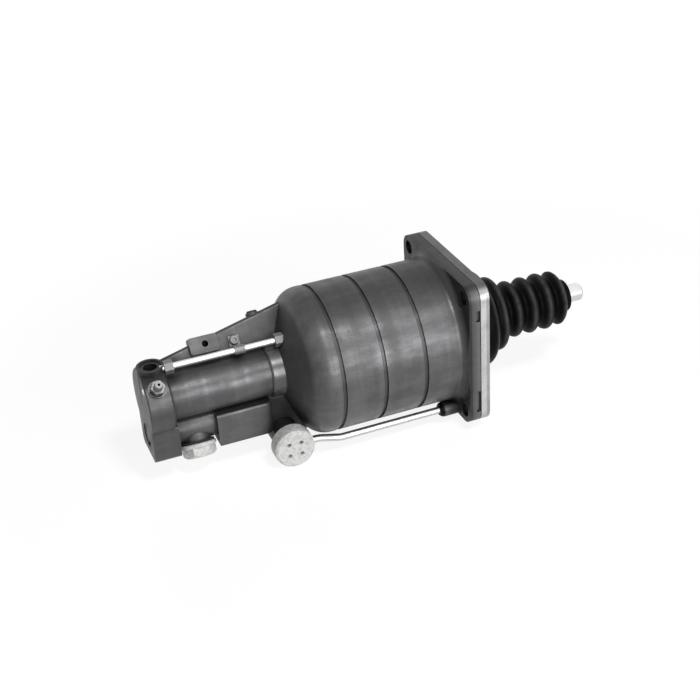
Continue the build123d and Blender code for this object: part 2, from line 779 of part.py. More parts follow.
with BuildPart() as plate_screws:
    shank = plate_screw_diameter / 2 - seated_fit
    head_depth = plate_screw_head / 2 - shank
    screw_profile = [
        (-plate_screw_length, 0),
        (-plate_screw_length, shank - 0.8),
        (-plate_screw_length + 0.8, shank),
        (-head_depth, shank),
        (0, plate_screw_head / 2),
        (0, 0),
    ]
    for y in (-plate_screw_side, plate_screw_side):
        for z in (-plate_screw_rise, plate_screw_rise):
            screw_plane = Plane(origin=(0, y, z), x_dir=(1, 0, 0), z_dir=(0, 0, 1))
            revolve(section(screw_profile, screw_plane), axis=Axis((0, y, z), (1, 0, 0)))
            key = hexagon(plate_screw_key, 0, (0, y, z), (-1, 0, 0), (0, 1, 0))
            extrude(key, amount=2, mode=Mode.SUBTRACT)

# Rod bush and wiper in the hub
bush = ring(-plate_thickness + 0.5, bush_end - seated_fit, rod_radius + running_fit, bush_radius)
wiper_front = hub_length - 0.2
wiper_rear = hub_length - wiper_length - 1 + seated_fit
wiper_inner = rod_radius + soft_gap
wiper = turned([
    (wiper_rear, wiper_inner + 0.8),
    (wiper_rear, wiper_radius),
    (wiper_front, wiper_radius),
    (wiper_front, wiper_inner + 2),
    (wiper_front + 1.8, wiper_inner + 0.3),
    (wiper_front + 1.8, wiper_inner),
    (wiper_front + 0.8, wiper_inner),
])

# Boot: cuff on the spigot, cone, folds and a collar round the rod
boot_end = boot_cone_end + boot_pitch * (boot_crests + 0.25)
collar_end = boot_end + boot_collar_length
rod_groove_rear = boot_end + rod_groove_inset
rod_groove_front = collar_end + soft_gap
rod_reach = collar_end + rod_free_length
with BuildPart() as boot:
    outer_points = [(boot_shoulder, spigot_radius + boot_cuff)]
    outer_points.append((boot_shoulder + 6, spigot_radius))
    outer_points.append((boot_cone_end, boot_cone_radius))
    for i in range(boot_crests):
        outer_points.append((boot_cone_end + (i + 0.5) * boot_pitch, boot_valley_radius))
        outer_points.append((boot_cone_end + (i + 1) * boot_pitch, boot_crest_radius))
    outer_points.append((boot_end, boot_collar_radius))
    inner_points = [(x, radius - boot_wall) for x, radius in outer_points[1:-1]]
    boot_inner = rod_radius + soft_gap
    with BuildSketch() as boot_profile:
        with BuildLine():
            Polyline(
                (0.4, spigot_radius + seated_fit),
                (0.4, spigot_radius + boot_cuff),
                *outer_points,
                (collar_end, boot_collar_radius),
                (collar_end, boot_inner - rod_groove_depth),
                (rod_groove_rear + soft_gap, boot_inner - rod_groove_depth),
                (rod_groove_rear + soft_gap, boot_inner),
                (boot_end + 0.4, boot_inner),
                *reversed(inner_points),
                (boot_shoulder - 1, spigot_radius + seated_fit),
                (bead_rear + bead_width - 0.2, spigot_radius + seated_fit),
                (bead_rear + bead_width - 0.2, spigot_radius - bead_depth + seated_fit),
                (bead_rear + 0.2, spigot_radius - bead_depth + seated_fit),
                (bead_rear + 0.2, spigot_radius + seated_fit),
                close=True,
            )
        make_face()
        fold_start = boot_cone_end - 1
        folds = boot_profile.vertices().filter_by_position(Axis.X, fold_start, boot_end - 2)
        fillet(folds, boot_fold_rounding)
        cuff = boot_profile.vertices().filter_by_position(Axis.X, boot_shoulder - 0.5, boot_shoulder + 7)
        fillet(cuff.filter_by_position(Axis.Y, spigot_radius - 0.5, 99), 2.5)
    revolve(axis=Axis.X)

# Push rod: one bar from the plunger to the rounded tip
with BuildPart() as push_rod:
    hub_rear = piston_front - piston_hub_length
    socket_bottom = plunger_front - plunger_socket_depth
    bar = plunger_rod_diameter / 2
    dome = rod_tip_radius - (rod_tip_radius ** 2 - rod_radius ** 2) ** 0.5
    with BuildSketch():
        with BuildLine():
            Polyline(
                (rod_reach, 0),
                (socket_bottom + 0.5, 0),
                (socket_bottom + 0.5, plunger_socket_diameter / 2 - seated_fit),
                (plunger_front + 1, plunger_socket_diameter / 2 - seated_fit),
                (plunger_front + 1, bar),
                (hub_rear - rod_shoulder_width, bar),
                (hub_rear - rod_shoulder_width, rod_shoulder_diameter / 2),
                (hub_rear, rod_shoulder_diameter / 2),
                (hub_rear, rod_radius),
                (rod_groove_rear, rod_radius),
                (rod_groove_rear, rod_radius - rod_groove_depth),
                (rod_groove_front, rod_radius - rod_groove_depth),
                (rod_groove_front, rod_radius),
                (rod_reach - dome, rod_radius),
            )
            RadiusArc((rod_reach - dome, rod_radius), (rod_reach, 0), rod_tip_radius)
        make_face()
    revolve(axis=Axis.X)

# Air piston with its seal, guide ring and nut
piston_radius = bore_radius - piston_clearance
hub_bore = rod_radius + seated_fit
skirt_inner = piston_radius - piston_skirt
seal_front = piston_front - 4
seal_rear = seal_front - piston_seal_width
seal_floor = piston_radius - piston_seal_depth
guide_front = piston_rear + 5 + guide_ring_width
guide_rear = piston_rear + 5
guide_floor = piston_radius - guide_ring_depth
pilot_radius = spring_front_radius - spring_wire / 2 - 0.6
recess_floor = piston_front - piston_nut_length
air_piston = turned([
    (hub_rear, hub_bore),
    (recess_floor, hub_bore),
    (recess_floor, nut_recess_diameter / 2),
    (piston_front, nut_recess_diameter / 2),
    (piston_front, piston_radius - 1),
    (piston_front - 1, piston_radius),
    (seal_front, piston_radius),
    (seal_front, seal_floor),
    (seal_rear, seal_floor),
    (seal_rear, piston_radius),
    (guide_front, piston_radius),
    (guide_front, guide_floor),
    (guide_rear, guide_floor),
    (guide_rear, piston_radius),
    (piston_rear, piston_radius),
    (piston_rear, skirt_inner + 2),
    (web_rear, skirt_inner),
    (web_rear, pilot_radius),
    (web_rear - 2.5, pilot_radius - 0.5),
    (web_rear - 2.5, piston_hub_diameter / 2),
    (hub_rear, piston_hub_diameter / 2 - 1),
])
seal_lip = bore_radius - soft_gap
piston_seal = turned([
    (seal_front - seated_fit, seal_floor + seated_fit),
    (seal_front - seated_fit, piston_radius - 0.4),
    (seal_rear + 0.4, seal_lip),
    (seal_rear + 0.2, seal_lip - 0.8),
    (seal_rear + 2.4, seal_floor + 2.4),
    (seal_rear + 0.2, seal_floor + 0.9),
    (seal_rear + 0.2, seal_floor + seated_fit),
])
guide_ring = ring(
    guide_rear + seated_fit,
    guide_front - seated_fit,
    guide_floor + seated_fit,
    bore_radius - running_fit,
)
with BuildPart() as piston_nut:
    nut_face = hexagon(piston_nut_hexagon, hub_bore, (recess_floor, 0, 0), (1, 0, 0), (0, 1, 0))
    extrude(nut_face, amount=piston_nut_length - 0.3)
    nut_cone = [
        (recess_floor, 0),
        (recess_floor, piston_nut_hexagon / 2 + 2.5),
        (piston_front - 1.5, piston_nut_hexagon / 2 + 2.5),
        (piston_front, piston_nut_hexagon / 2 - 0.3),
        (piston_front, 0),
    ]
    revolve(section(nut_cone), axis=Axis.X, mode=Mode.INTERSECT)

# Return spring and the seat that centres it on the land
seat_front = spring_land + spring_seat_thickness
seat_pilot = spring_rear_radius - spring_wire / 2 - 0.4
seat_rim = spring_rear_radius + spring_seat_margin
with BuildPart() as spring_seat:
    seat_profile = [
        (spring_land, hydraulic_radius + 2),
        (spring_land, seat_rim),
        (seat_front, seat_rim),
        (seat_front, seat_pilot),
        (seat_front + spring_seat_lip, seat_pilot),
        (seat_front + spring_seat_lip, seat_pilot - spring_seat_thickness),
        (seat_front, seat_pilot - spring_seat_thickness),
        (seat_front, hydraulic_radius + 2),
    ]
    revolve(section(seat_profile), axis=Axis.X)
    air_way = disc(spring_seat_port / 2, (spring_land, air_pipe_side, air_pipe_rise), (1, 0, 0))
    extrude(air_way, amount=spring_seat_thickness, mode=Mode.SUBTRACT)
return_spring = coil_spring(
    seat_front + seated_fit,
    web_rear - soft_gap,
    spring_rear_radius,
    spring_front_radius,
    spring_wire,
    spring_turns,
)

# Hydraulic plunger with two seals
plunger_radius = hydraulic_radius - running_fit
plunger_floor = plunger_radius - plunger_seal_depth
rear_seal_x = plunger_rear + 4
front_seal_x = plunger_front - 4 - plunger_seal_width
plunger_points = [(plunger_rear, 0), (plunger_rear, plunger_radius - 1.5)]
plunger_points.append((plunger_rear + 1.5, plunger_radius))
for x in (rear_seal_x, front_seal_x):
    plunger_points.append((x, plunger_radius))
    plunger_points.append((x, plunger_floor))
    plunger_points.append((x + plunger_seal_width, plunger_floor))
    plunger_points.append((x + plunger_seal_width, plunger_radius))
plunger_points.append((plunger_front, plunger_radius))
plunger_points.append((plunger_front, plunger_socket_diameter / 2))
plunger_points.append((socket_bottom, plunger_socket_diameter / 2))
plunger_points.append((socket_bottom, 0))
plunger = turned(plunger_points)
with BuildPart() as plunger_seals:
    for x in (rear_seal_x, front_seal_x):
        lip = hydraulic_radius - soft_gap
        seal_profile = [
            (x + plunger_seal_width - seated_fit, plunger_floor + seated_fit),
            (x + plunger_seal_width - seated_fit, lip - 0.5),
            (x + 0.5, lip),
            (x + 0.2, lip - 0.8),
            (x + 1.8, plunger_floor + 1.6),
            (x + 0.2, plunger_floor + 0.9),
            (x + 0.2, plunger_floor + seated_fit),
        ]
        revolve(section(seal_profile), axis=Axis.X)

# Relay line: end plug, relay piston, valve seat, inlet valve and their small parts
plug_radius = relay_radius - seated_fit
plug_end = end_plug_x + end_plug_length
groove_floor = relay_radius - o_ring_section + 0.1
with BuildPart() as relay_end_plug:
    plug_groove = end_plug_x + 0.8
    plug_profile = [
        (end_plug_x + seated_fit, 0),
        (end_plug_x + seated_fit, plug_radius),
        (plug_groove, plug_radius),
        (plug_groove, groove_floor),
        (plug_groove + 2, groove_floor),
        (plug_groove + 2, plug_radius),
        (plug_end, plug_radius),
        (plug_end, 0),
    ]
    revolve(section(plug_profile, relay_plane), axis=relay_axis)
    key = hexagon(end_plug_key, 0, (housing_rear, 0, -relay_drop), (1, 0, 0), (0, 1, 0))
    extrude(key, amount=plug_groove + 0.6 - housing_rear, mode=Mode.SUBTRACT)
end_plug_ring = round_ring(
    plug_groove + 1, groove_floor + seated_fit, relay_radius - seated_fit, relay_plane
)
with BuildPart() as snap_rings:
    ring_outer = relay_radius + snap_ring_proud - 0.1
    for x in (snap_groove_x, seat_x - snap_ring_width):
        ring_profile = [
            (x + 0.1, ring_outer - snap_ring_section),
            (x + snap_ring_width - seated_fit, ring_outer - snap_ring_section),
            (x + snap_ring_width - seated_fit, ring_outer),
            (x + 0.1, ring_outer),
        ]
        revolve(section(ring_profile, relay_plane), axis=relay_axis)
    with BuildSketch(Plane.YZ.offset(housing_rear)):
        with Locations((0, -relay_drop - relay_radius)):
            Rectangle(4, 6)
    extrude(amount=30, mode=Mode.SUBTRACT)

stem = relay_stem_diameter / 2
stem_end = valve_face_x - lost_motion
relay_groove = relay_start_x + 1.8
relay_wall = relay_radius - running_fit
relay_floor = relay_radius - o_ring_section - 0.1
relay_piston = turned([
    (plug_end + running_fit, 0),
    (plug_end + running_fit, 3.5),
    (relay_start_x, 4),
    (relay_start_x, relay_wall),
    (relay_groove, relay_wall),
    (relay_groove, relay_floor),
    (relay_groove + 2, relay_floor),
    (relay_groove + 2, relay_wall),
    (relay_land_x, relay_wall),
    (relay_land_x, stem),
    (stem_end - 0.8, stem),
    (stem_end, stem - 0.5),
    (stem_end, 0),
], relay_plane)
relay_seal = round_ring(
    relay_groove + 1, relay_floor + seated_fit, relay_radius - soft_gap, relay_plane
)
seat_hole = seat_hole_diameter / 2
seat_groove = seat_x + 1.4
valve_seat = turned([
    (seat_x, seat_hole),
    (seat_face_x - seated_fit, seat_hole),
    (seat_face_x - seated_fit + seat_lip / 2, seat_hole + 0.2),
    (seat_face_x - seated_fit + seat_lip / 2, seat_hole + 0.6),
    (seat_face_x - seated_fit, seat_hole + 0.8),
    (seat_face_x - seated_fit, plug_radius),
    (seat_groove + 2, plug_radius),
    (seat_groove + 2, groove_floor),
    (seat_groove, groove_floor),
    (seat_groove, plug_radius),
    (seat_x, plug_radius),
], relay_plane)
valve_seat_ring = round_ring(
    seat_groove + 1, groove_floor + seated_fit, relay_radius - seated_fit, relay_plane
)
relay_spring = coil_spring(
    relay_land_x + soft_gap,
    seat_x - seated_fit,
    seat_hole + 1,
    seat_hole + 1.01,
    relay_spring_wire,
    3,
    -relay_drop,
)
disc_radius = valve_disc_diameter / 2
tube_outer = valve_tube_diameter / 2
tube_hole = valve_tube_hole / 2
face_end = valve_face_x + valve_face_thickness
disc_end = face_end + valve_disc_width
valve_end = guide_end_x - valve_stroke_room
inlet_valve = turned([
    (face_end, tube_hole),
    (face_end, disc_radius - 0.8),
    (valve_face_x + 0.3, disc_radius - 0.8),
    (valve_face_x + 0.3, disc_radius),
    (disc_end, disc_radius),
    (disc_end, tube_outer),
    (valve_end, tube_outer),
    (valve_end, tube_hole),
], relay_plane)
valve_face = ring(
    valve_face_x, face_end, tube_hole, disc_radius - 0.8 - seated_fit, relay_plane
)
valve_spring = coil_spring(
    disc_end + soft_gap,
    supply_end_x - seated_fit,
    tube_outer + valve_spring_wire / 2 + 0.8,
    tube_outer + valve_spring_wire / 2 + 0.81,
    valve_spring_wire,
    5,
    -relay_drop,
)

# Bleed screw on the end boss
with BuildPart() as bleed_screw:
    hex_start = bleed_boss_height + 0.5
    hex_end = hex_start + 5
    bleed_top = bleed_boss_height + bleed_height
    screw_profile = [
        (hydraulic_radius + 2, 0),
        (hydraulic_radius + 4, bleed_thread / 2 - seated_fit),
        (hex_start, bleed_thread / 2 - seated_fit),
        (hex_end, bleed_thread / 2),
        (hex_end, 2.2),
        (hex_end + 2, 2.2),
        (hex_end + 2.6, 3.2),
        (bleed_top, 2.6),
        (bleed_top, 1),
        (hex_start, 1),
        (hex_start, 0),
    ]
    revolve(section(screw_profile, bleed_plane), axis=Axis(bleed_plane.origin, bleed_plane.x_dir))
    hex_origin = bleed_plane.origin + toward(bleed_lean) * hex_start
    extrude(hexagon(bleed_hexagon, 1, hex_origin, toward(bleed_lean), (1, 0, 0)), amount=5)

# Plug and washer of the air port
washer_end = air_port_face + air_port_washer
air_plug_washer = ring(
    air_port_face, washer_end, air_port_diameter / 2 + 0.3, air_plug_flange / 2 - 1, air_port_plane
)
with BuildPart() as air_plug:
    plug_top = washer_end + air_plug_height
    flange_top = washer_end + 3
    hex_base = air_port_origin + air_port_direction * flange_top
    extrude(
        hexagon(air_plug_hexagon, 0, hex_base, air_port_direction, (1, 0, 0)),
        amount=plug_top - flange_top,
    )
    crown = [
        (0, 0),
        (0, 20),
        (plug_top - 2, air_plug_hexagon / 2 + 1.5),
        (plug_top, air_plug_hexagon / 2 - 1),
        (plug_top, 0),
    ]
    port_axis = Axis(air_port_plane.origin, air_port_plane.x_dir)
    revolve(section(crown, air_port_plane), axis=port_axis, mode=Mode.INTERSECT)
    thread = air_port_diameter / 2 - seated_fit
    thread_start = supply_chamber_diameter / 2 + 0.8
    body = [
        (thread_start, 0),
        (thread_start, thread - 1),
        (thread_start + 1, thread),
        (washer_end, thread),
        (washer_end, air_plug_flange / 2 - 0.6),
        (washer_end + 0.6, air_plug_flange / 2),
        (flange_top - 0.6, air_plug_flange / 2),
        (flange_top, air_plug_flange / 2 - 0.6),
        (flange_top, 0),
    ]
    revolve(section(body, air_port_plane), axis=port_axis)
    recess = disc(4.5, air_port_origin + air_port_direction * plug_top, -air_port_direction)
    extrude(recess, amount=2, mode=Mode.SUBTRACT)

# Plugs in the rib's ridge and in the end face
passage_plug = turned([
    (-7, 0),
    (-7, 2.5 - seated_fit),
    (0, 2.5 - seated_fit),
    (0, passage_plug_diameter / 2),
    (1.0, passage_plug_diameter / 2),
    (1.6, passage_plug_diameter / 2 - 0.6),
    (1.6, 0),
], passage_plug_plane)
core_plug_plane = Plane(origin=core_plug_origin, x_dir=(1, 0, 0), z_dir=(0, 0, 1))
core_plug = turned([
    (-0.6, 0),
    (-0.6, core_plug_diameter / 2 - 0.8),
    (0.2, core_plug_diameter / 2 - seated_fit),
    (4.5, core_plug_diameter / 2 - seated_fit),
    (4.5, 0),
], core_plug_plane)

# Air pipe, its nut and its clip
with BuildPart() as air_pipe:
    pipe_start = Vector(socket_x, air_pipe_side, air_pipe_rise)
    pipe_outer = disc(air_pipe_diameter / 2, pipe_start, (1, 0, 0))
    pipe_length = pipe_face_x + pipe_insertion - 0.3 - socket_x
    extrude(pipe_outer, amount=pipe_length)
    pipe_inner = disc(air_pipe_diameter / 2 - air_pipe_wall, pipe_start, (1, 0, 0))
    extrude(pipe_inner, amount=pipe_length, mode=Mode.SUBTRACT)
with BuildPart() as air_pipe_nuts:
    nut_hole = air_pipe_diameter / 2 + seated_fit
    for x, way in ((pipe_face_x, -1), (boss_face_x, 1)):
        nut_origin = (x, air_pipe_side, air_pipe_rise)
        pipe_nut = hexagon(air_pipe_nut_hexagon, nut_hole, nut_origin, (way, 0, 0), (0, 1, 0))
        extrude(pipe_nut, amount=air_pipe_nut_length)
with BuildPart() as pipe_clip:
    pipe_local = rib_plane.to_local_coords(Vector(0, air_pipe_side, air_pipe_rise))
    loop_outer = air_pipe_diameter / 2 + seated_fit + clip_band
    clip_floor = rib_thickness / 2 + seated_fit
    clip_plane = Plane(origin=(clip_x - clip_width / 2, 0, 0), x_dir=rib_up, z_dir=(1, 0, 0))
    turn = 1 if clip_plane.y_dir.dot(rib_normal) > 0 else -1
    with BuildSketch(clip_plane):
        with Locations((pipe_local.Y, turn * pipe_local.Z)):
            Circle(loop_outer)
        leg_side = pipe_local.Y + loop_outer
        leg_middle = (clip_floor + pipe_local.Z) / 2
        with Locations((leg_side - clip_band / 2, turn * leg_middle)):
            Rectangle(clip_band, pipe_local.Z - clip_floor)
        foot_middle = (leg_side - clip_band + clip_foot) / 2
        with Locations((foot_middle, turn * (clip_floor + clip_band / 2))):
            Rectangle(clip_foot - leg_side + clip_band, clip_band)
        with Locations((pipe_local.Y, turn * pipe_local.Z)):
            Circle(air_pipe_diameter / 2 + seated_fit, mode=Mode.SUBTRACT)
    extrude(amount=clip_width)
    clip_screw_base = clip_hole + rib_normal * (seated_fit + clip_band)
    extrude(disc(2.2, clip_hole, rib_normal), amount=clip_band + 1, mode=Mode.SUBTRACT)
with BuildPart() as clip_screw:
    clip_shank = disc(clip_screw_diameter / 2 - seated_fit, clip_screw_base, -rib_normal)
    extrude(clip_shank, amount=small_hole_depth)
    extrude(disc(3.5, clip_screw_base, rib_normal), amount=2.6)
    fillet(edges().filter_by(GeomType.CIRCLE).sort_by(lambda e: e.center().dot(rib_normal))[-1], 0.8)
    key_base = clip_screw_base + rib_normal * 2.6
    extrude(hexagon(clip_screw_key, 0, key_base, -rib_normal, (1, 0, 0)), amount=1.5, mode=Mode.SUBTRACT)

# Exhaust silencer: cup, felt and perforated cap
cup_radius = silencer_diameter / 2
cup_depth = silencer_body_depth
stub = silencer_stub_diameter / 2 - seated_fit
with BuildPart() as silencer_body:
    cup = [
        (-silencer_stub_length, 2.6),
        (-silencer_stub_length, stub - 0.8),
        (-silencer_stub_length + 0.8, stub),
        (0, stub),
        (0, cup_radius - 1),
        (1, cup_radius),
        (cup_depth, cup_radius),
        (cup_depth, cup_radius - silencer_wall),
        (silencer_wall, cup_radius - silencer_wall),
        (silencer_wall, 2.6),
    ]
    silencer_axis = Axis(silencer_plane.origin, silencer_plane.x_dir)
    revolve(section(cup, silencer_plane), axis=silencer_axis)
    vent_side = silencer_boss_side + silencer_wall + vent_pipe_diameter / 2 + 0.6
    rim_hole = (silencer_x + cup_radius - 4, -vent_side, -silencer_drop)
    vent_fit = vent_pipe_diameter / 2 + seated_fit
    extrude(disc(vent_fit, rim_hole, (1, 0, 0)), amount=6, mode=Mode.SUBTRACT)
felt = ring(
    silencer_wall + 0.4,
    cup_depth - 0.2,
    3,
    cup_radius - silencer_wall - 3.4,
    silencer_plane,
)
with BuildPart() as silencer_cap:
    cap = [
        (cup_depth, 0),
        (cup_depth, cup_radius - 0.2),
        (cup_depth + silencer_cap_thickness - 1.2, cup_radius - 0.2),
        (cup_depth + silencer_cap_thickness, cup_radius - 1.8),
        (cup_depth + silencer_cap_thickness, 0),
    ]
    revolve(section(cap, silencer_plane), axis=silencer_axis)
    with BuildSketch(Plane(origin=silencer_mouth, x_dir=(1, 0, 0), z_dir=(0, -1, 0))):
        with GridLocations(silencer_hole_spacing, silencer_hole_spacing, 2, 2):
            Circle(silencer_hole_diameter / 2)
    extrude(amount=through, mode=Mode.SUBTRACT)

# Vent pipe from the silencer's rim to the flange, and the grommet at its end
with BuildPart() as vent_pipe:
    rim_x = silencer_x + cup_radius
    with BuildLine() as vent_path:
        FilletPolyline(
            (rim_x - silencer_wall + 0.2, -vent_side, -silencer_drop),
            (rim_x + vent_straight, -vent_side, -silencer_drop),
            (rim_x + vent_knee, -vent_end_side, -vent_end_drop),
            (vent_boss_x + pipe_insertion, -vent_end_side, -vent_end_drop),
            radius=vent_pipe_bend,
        )
    with BuildSketch(Plane(origin=vent_path.line @ 0, z_dir=vent_path.line % 0)):
        Circle(vent_pipe_diameter / 2)
        Circle(vent_pipe_diameter / 2 - vent_pipe_wall, mode=Mode.SUBTRACT)
    sweep()
vent_plane = Plane(
    origin=(0, -vent_end_side, -vent_end_drop),
    x_dir=(1, 0, 0),
    z_dir=(0, 0, 1),
)
grommet = turned([
    (vent_boss_x - 3, vent_fit),
    (vent_boss_x, vent_fit),
    (vent_boss_x, vent_boss_diameter / 2 - 0.4),
    (vent_boss_x - 1.5, vent_boss_diameter / 2 - 0.4),
    (vent_boss_x - 3, vent_fit + grommet_thickness),
], vent_plane)

# Names of the pieces
pieces = {
    "housing": housing,
    "end_plate": end_plate,
    "flange_gasket": gasket,
    "plate_screws": plate_screws,
    "rod_bush": bush,
    "rod_wiper": wiper,
    "boot": boot,
    "push_rod": push_rod,
    "air_piston": air_piston,
    "piston_seal": piston_seal,
    "piston_guide_ring": guide_ring,
    "piston_nut": piston_nut,
    "spring_seat": spring_seat,
    "return_spring": return_spring,
    "hydraulic_plunger": plunger,
    "plunger_seals": plunger_seals,
    "relay_end_plug": relay_end_plug,
    "relay_end_ring": end_plug_ring,
    "relay_snap_rings": snap_rings,
    "relay_piston": relay_piston,
    "relay_seal": relay_seal,
    "relay_spring": relay_spring,
    "valve_seat": valve_seat,
    "valve_seat_ring": valve_seat_ring,
    "inlet_valve": inlet_valve,
    "valve_face": valve_face,
    "valve_spring": valve_spring,
    "bleed_screw": bleed_screw,
    "air_port_plug": air_plug,
    "air_port_washer": air_plug_washer,
    "passage_plug": passage_plug,
    "core_plug": core_plug,
    "air_pipe": air_pipe,
    "air_pipe_nuts": air_pipe_nuts,
    "pipe_clip": pipe_clip,
    "clip_screw": clip_screw,
    "silencer_body": silencer_body,
    "silencer_felt": felt,
    "silencer_cap": silencer_cap,
    "vent_pipe": vent_pipe,
    "vent_grommet": grommet,
}
for name, piece in pieces.items():
    piece.part.label = name
    export_step(piece.part, "parts/" + name + ".step")
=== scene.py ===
# %% [markdown]
# # Clutch servo
# A clutch servo is a long aluminium casting: a wide air cylinder behind a square flange, and a slim
# fluid cylinder behind that. Its exact shape comes from the solid model, so this notebook loads the
# solids as a fixed frame and spends its effort on what they can't show: the grain of the casting,
# the shine of turned steel, the rubber boot and the springs.

# %% Load the frame
import json
import math

import bmesh
import bpy
from mathutils import Matrix, Vector


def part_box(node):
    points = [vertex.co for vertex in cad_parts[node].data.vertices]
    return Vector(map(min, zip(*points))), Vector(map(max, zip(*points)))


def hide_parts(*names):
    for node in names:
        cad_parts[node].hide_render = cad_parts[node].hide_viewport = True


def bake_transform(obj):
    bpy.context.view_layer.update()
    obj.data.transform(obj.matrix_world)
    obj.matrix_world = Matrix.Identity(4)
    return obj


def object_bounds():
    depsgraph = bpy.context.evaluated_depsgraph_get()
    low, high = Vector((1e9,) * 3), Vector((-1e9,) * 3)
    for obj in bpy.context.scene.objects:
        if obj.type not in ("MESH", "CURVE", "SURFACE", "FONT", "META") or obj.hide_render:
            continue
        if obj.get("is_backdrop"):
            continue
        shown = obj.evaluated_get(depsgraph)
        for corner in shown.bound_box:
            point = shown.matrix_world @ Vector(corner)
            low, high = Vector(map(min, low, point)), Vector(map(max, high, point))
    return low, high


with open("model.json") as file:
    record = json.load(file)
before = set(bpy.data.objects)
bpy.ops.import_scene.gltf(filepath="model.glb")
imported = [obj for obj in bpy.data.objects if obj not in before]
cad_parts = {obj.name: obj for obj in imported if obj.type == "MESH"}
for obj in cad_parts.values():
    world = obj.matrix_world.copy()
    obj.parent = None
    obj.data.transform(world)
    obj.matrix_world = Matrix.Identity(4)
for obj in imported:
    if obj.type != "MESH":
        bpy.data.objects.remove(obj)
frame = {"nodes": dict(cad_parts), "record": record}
cad_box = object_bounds()
nodes = frame["nodes"]
scene = bpy.context.scene
print("pieces in the frame:", len(nodes))

# %% [markdown]
# The camera stands where the photographer stood: in front and to the left, looking down by about
# thirty degrees from a metre away. Its angles could be set by eye, but they were worked out from the
# ellipses of the flange and the grooves, because a wrong lens bends every later comparison. The lens
# is slightly long, and the camera is rolled a little, as a hand-held one is.

# %% Camera
AZIMUTH = -20.44
ELEVATION = 30.21
ROLL = -3.66
AIM = Vector((-0.0825, 0.0, 0.0))
DISTANCE = 1.0
SENSOR_WIDTH = 36.0
PHOTO_WIDTH = 700
PIXELS_PER_METRE = 1322.0
PIXELS_RIGHT = -7.06
PIXELS_UP = -2.5


def direction(azimuth, elevation):
    """Way from the servo to a place round it, from angles in degrees."""
    a, e = math.radians(azimuth), math.radians(elevation)
    return Vector((math.sin(a) * math.cos(e), -math.cos(a) * math.cos(e), math.sin(e)))


toward_camera = direction(AZIMUTH, ELEVATION)
lens = bpy.data.cameras.new("photo_camera")
lens.sensor_width = SENSOR_WIDTH
lens.lens = SENSOR_WIDTH * PIXELS_PER_METRE * DISTANCE / PHOTO_WIDTH
lens.shift_x = PIXELS_RIGHT / PHOTO_WIDTH
lens.shift_y = PIXELS_UP / PHOTO_WIDTH
camera = bpy.data.objects.new("photo_camera", lens)
scene.collection.objects.link(camera)
roll = Matrix.Rotation(math.radians(ROLL), 3, "Z")
turn = toward_camera.to_track_quat("Z", "Y").to_matrix() @ roll
camera.matrix_world = Matrix.Translation(AIM + toward_camera * DISTANCE) @ turn.to_4x4()
scene.camera = camera
print("lens", round(lens.lens, 1), "mm")

# %% [markdown]
# Every finish is a small sum: so much grain, so much oil, less at the edges. In the editor such a sum
# is a web of Math nodes that is hard to read. Here a value wraps a node's output, and adding or
# multiplying two values adds the Math node that does it, so that a finish reads like the sum it is.

# %% Values that can be added and multiplied
class Value:
    """A node's output that takes part in Python sums."""

    def __init__(self, tree, socket):
        self.tree = tree
        self.socket = socket

    def math(self, operation, other=0.0, swapped=False, clamp=False):
        made = self.tree.nodes.new("ShaderNodeMath")
        made.operation = operation
        made.use_clamp = clamp
        pair = (other, self) if swapped else (self, other)
        for slot, given in zip(made.inputs, pair):
            connect(self.tree, given, slot)
        return Value(self.tree, made.outputs[0])

    def __add__(self, other):
        return self.math("ADD", other)

    def __radd__(self, other):
        return self.math("ADD", other)

    def __sub__(self, other):
        return self.math("SUBTRACT", other)

    def __rsub__(self, other):
        return self.math("SUBTRACT", other, swapped=True)

    def __mul__(self, other):
        return self.math("MULTIPLY", other)

    def __rmul__(self, other):
        return self.math("MULTIPLY", other)

    def __truediv__(self, other):
        return self.math("DIVIDE", other)

    def __pow__(self, other):
        return self.math("POWER", other)

    def above(self, limit):
        return self.math("GREATER_THAN", limit)

    def below(self, limit):
        return self.math("LESS_THAN", limit)


def connect(tree, given, slot):
    """Links a value to a socket, or sets the socket to a number."""
    if isinstance(given, Value):
        tree.links.new(given.socket, slot)
    else:
        slot.default_value = given


def skills(kind):
    """Names of what a class can do."""
    return [name.strip("_") for name, made in vars(kind).items() if callable(made)]


print("a value can do:", skills(Value))

# %% [markdown]
# All other nodes could be added by hand too, with a line for each socket. One method does it for
# them all: it is told the kind of node, its settings and what goes into its sockets. The methods
# under it are named for what a finish needs most: the place on the piece, a noise, a ramp that
# sharpens the noise, a tint, and the surface that it all ends in.

# %% Finishes
MM = 0.001


def grey(level):
    """A grey colour that hides what is behind it."""
    return (level, level, level, 1.0)


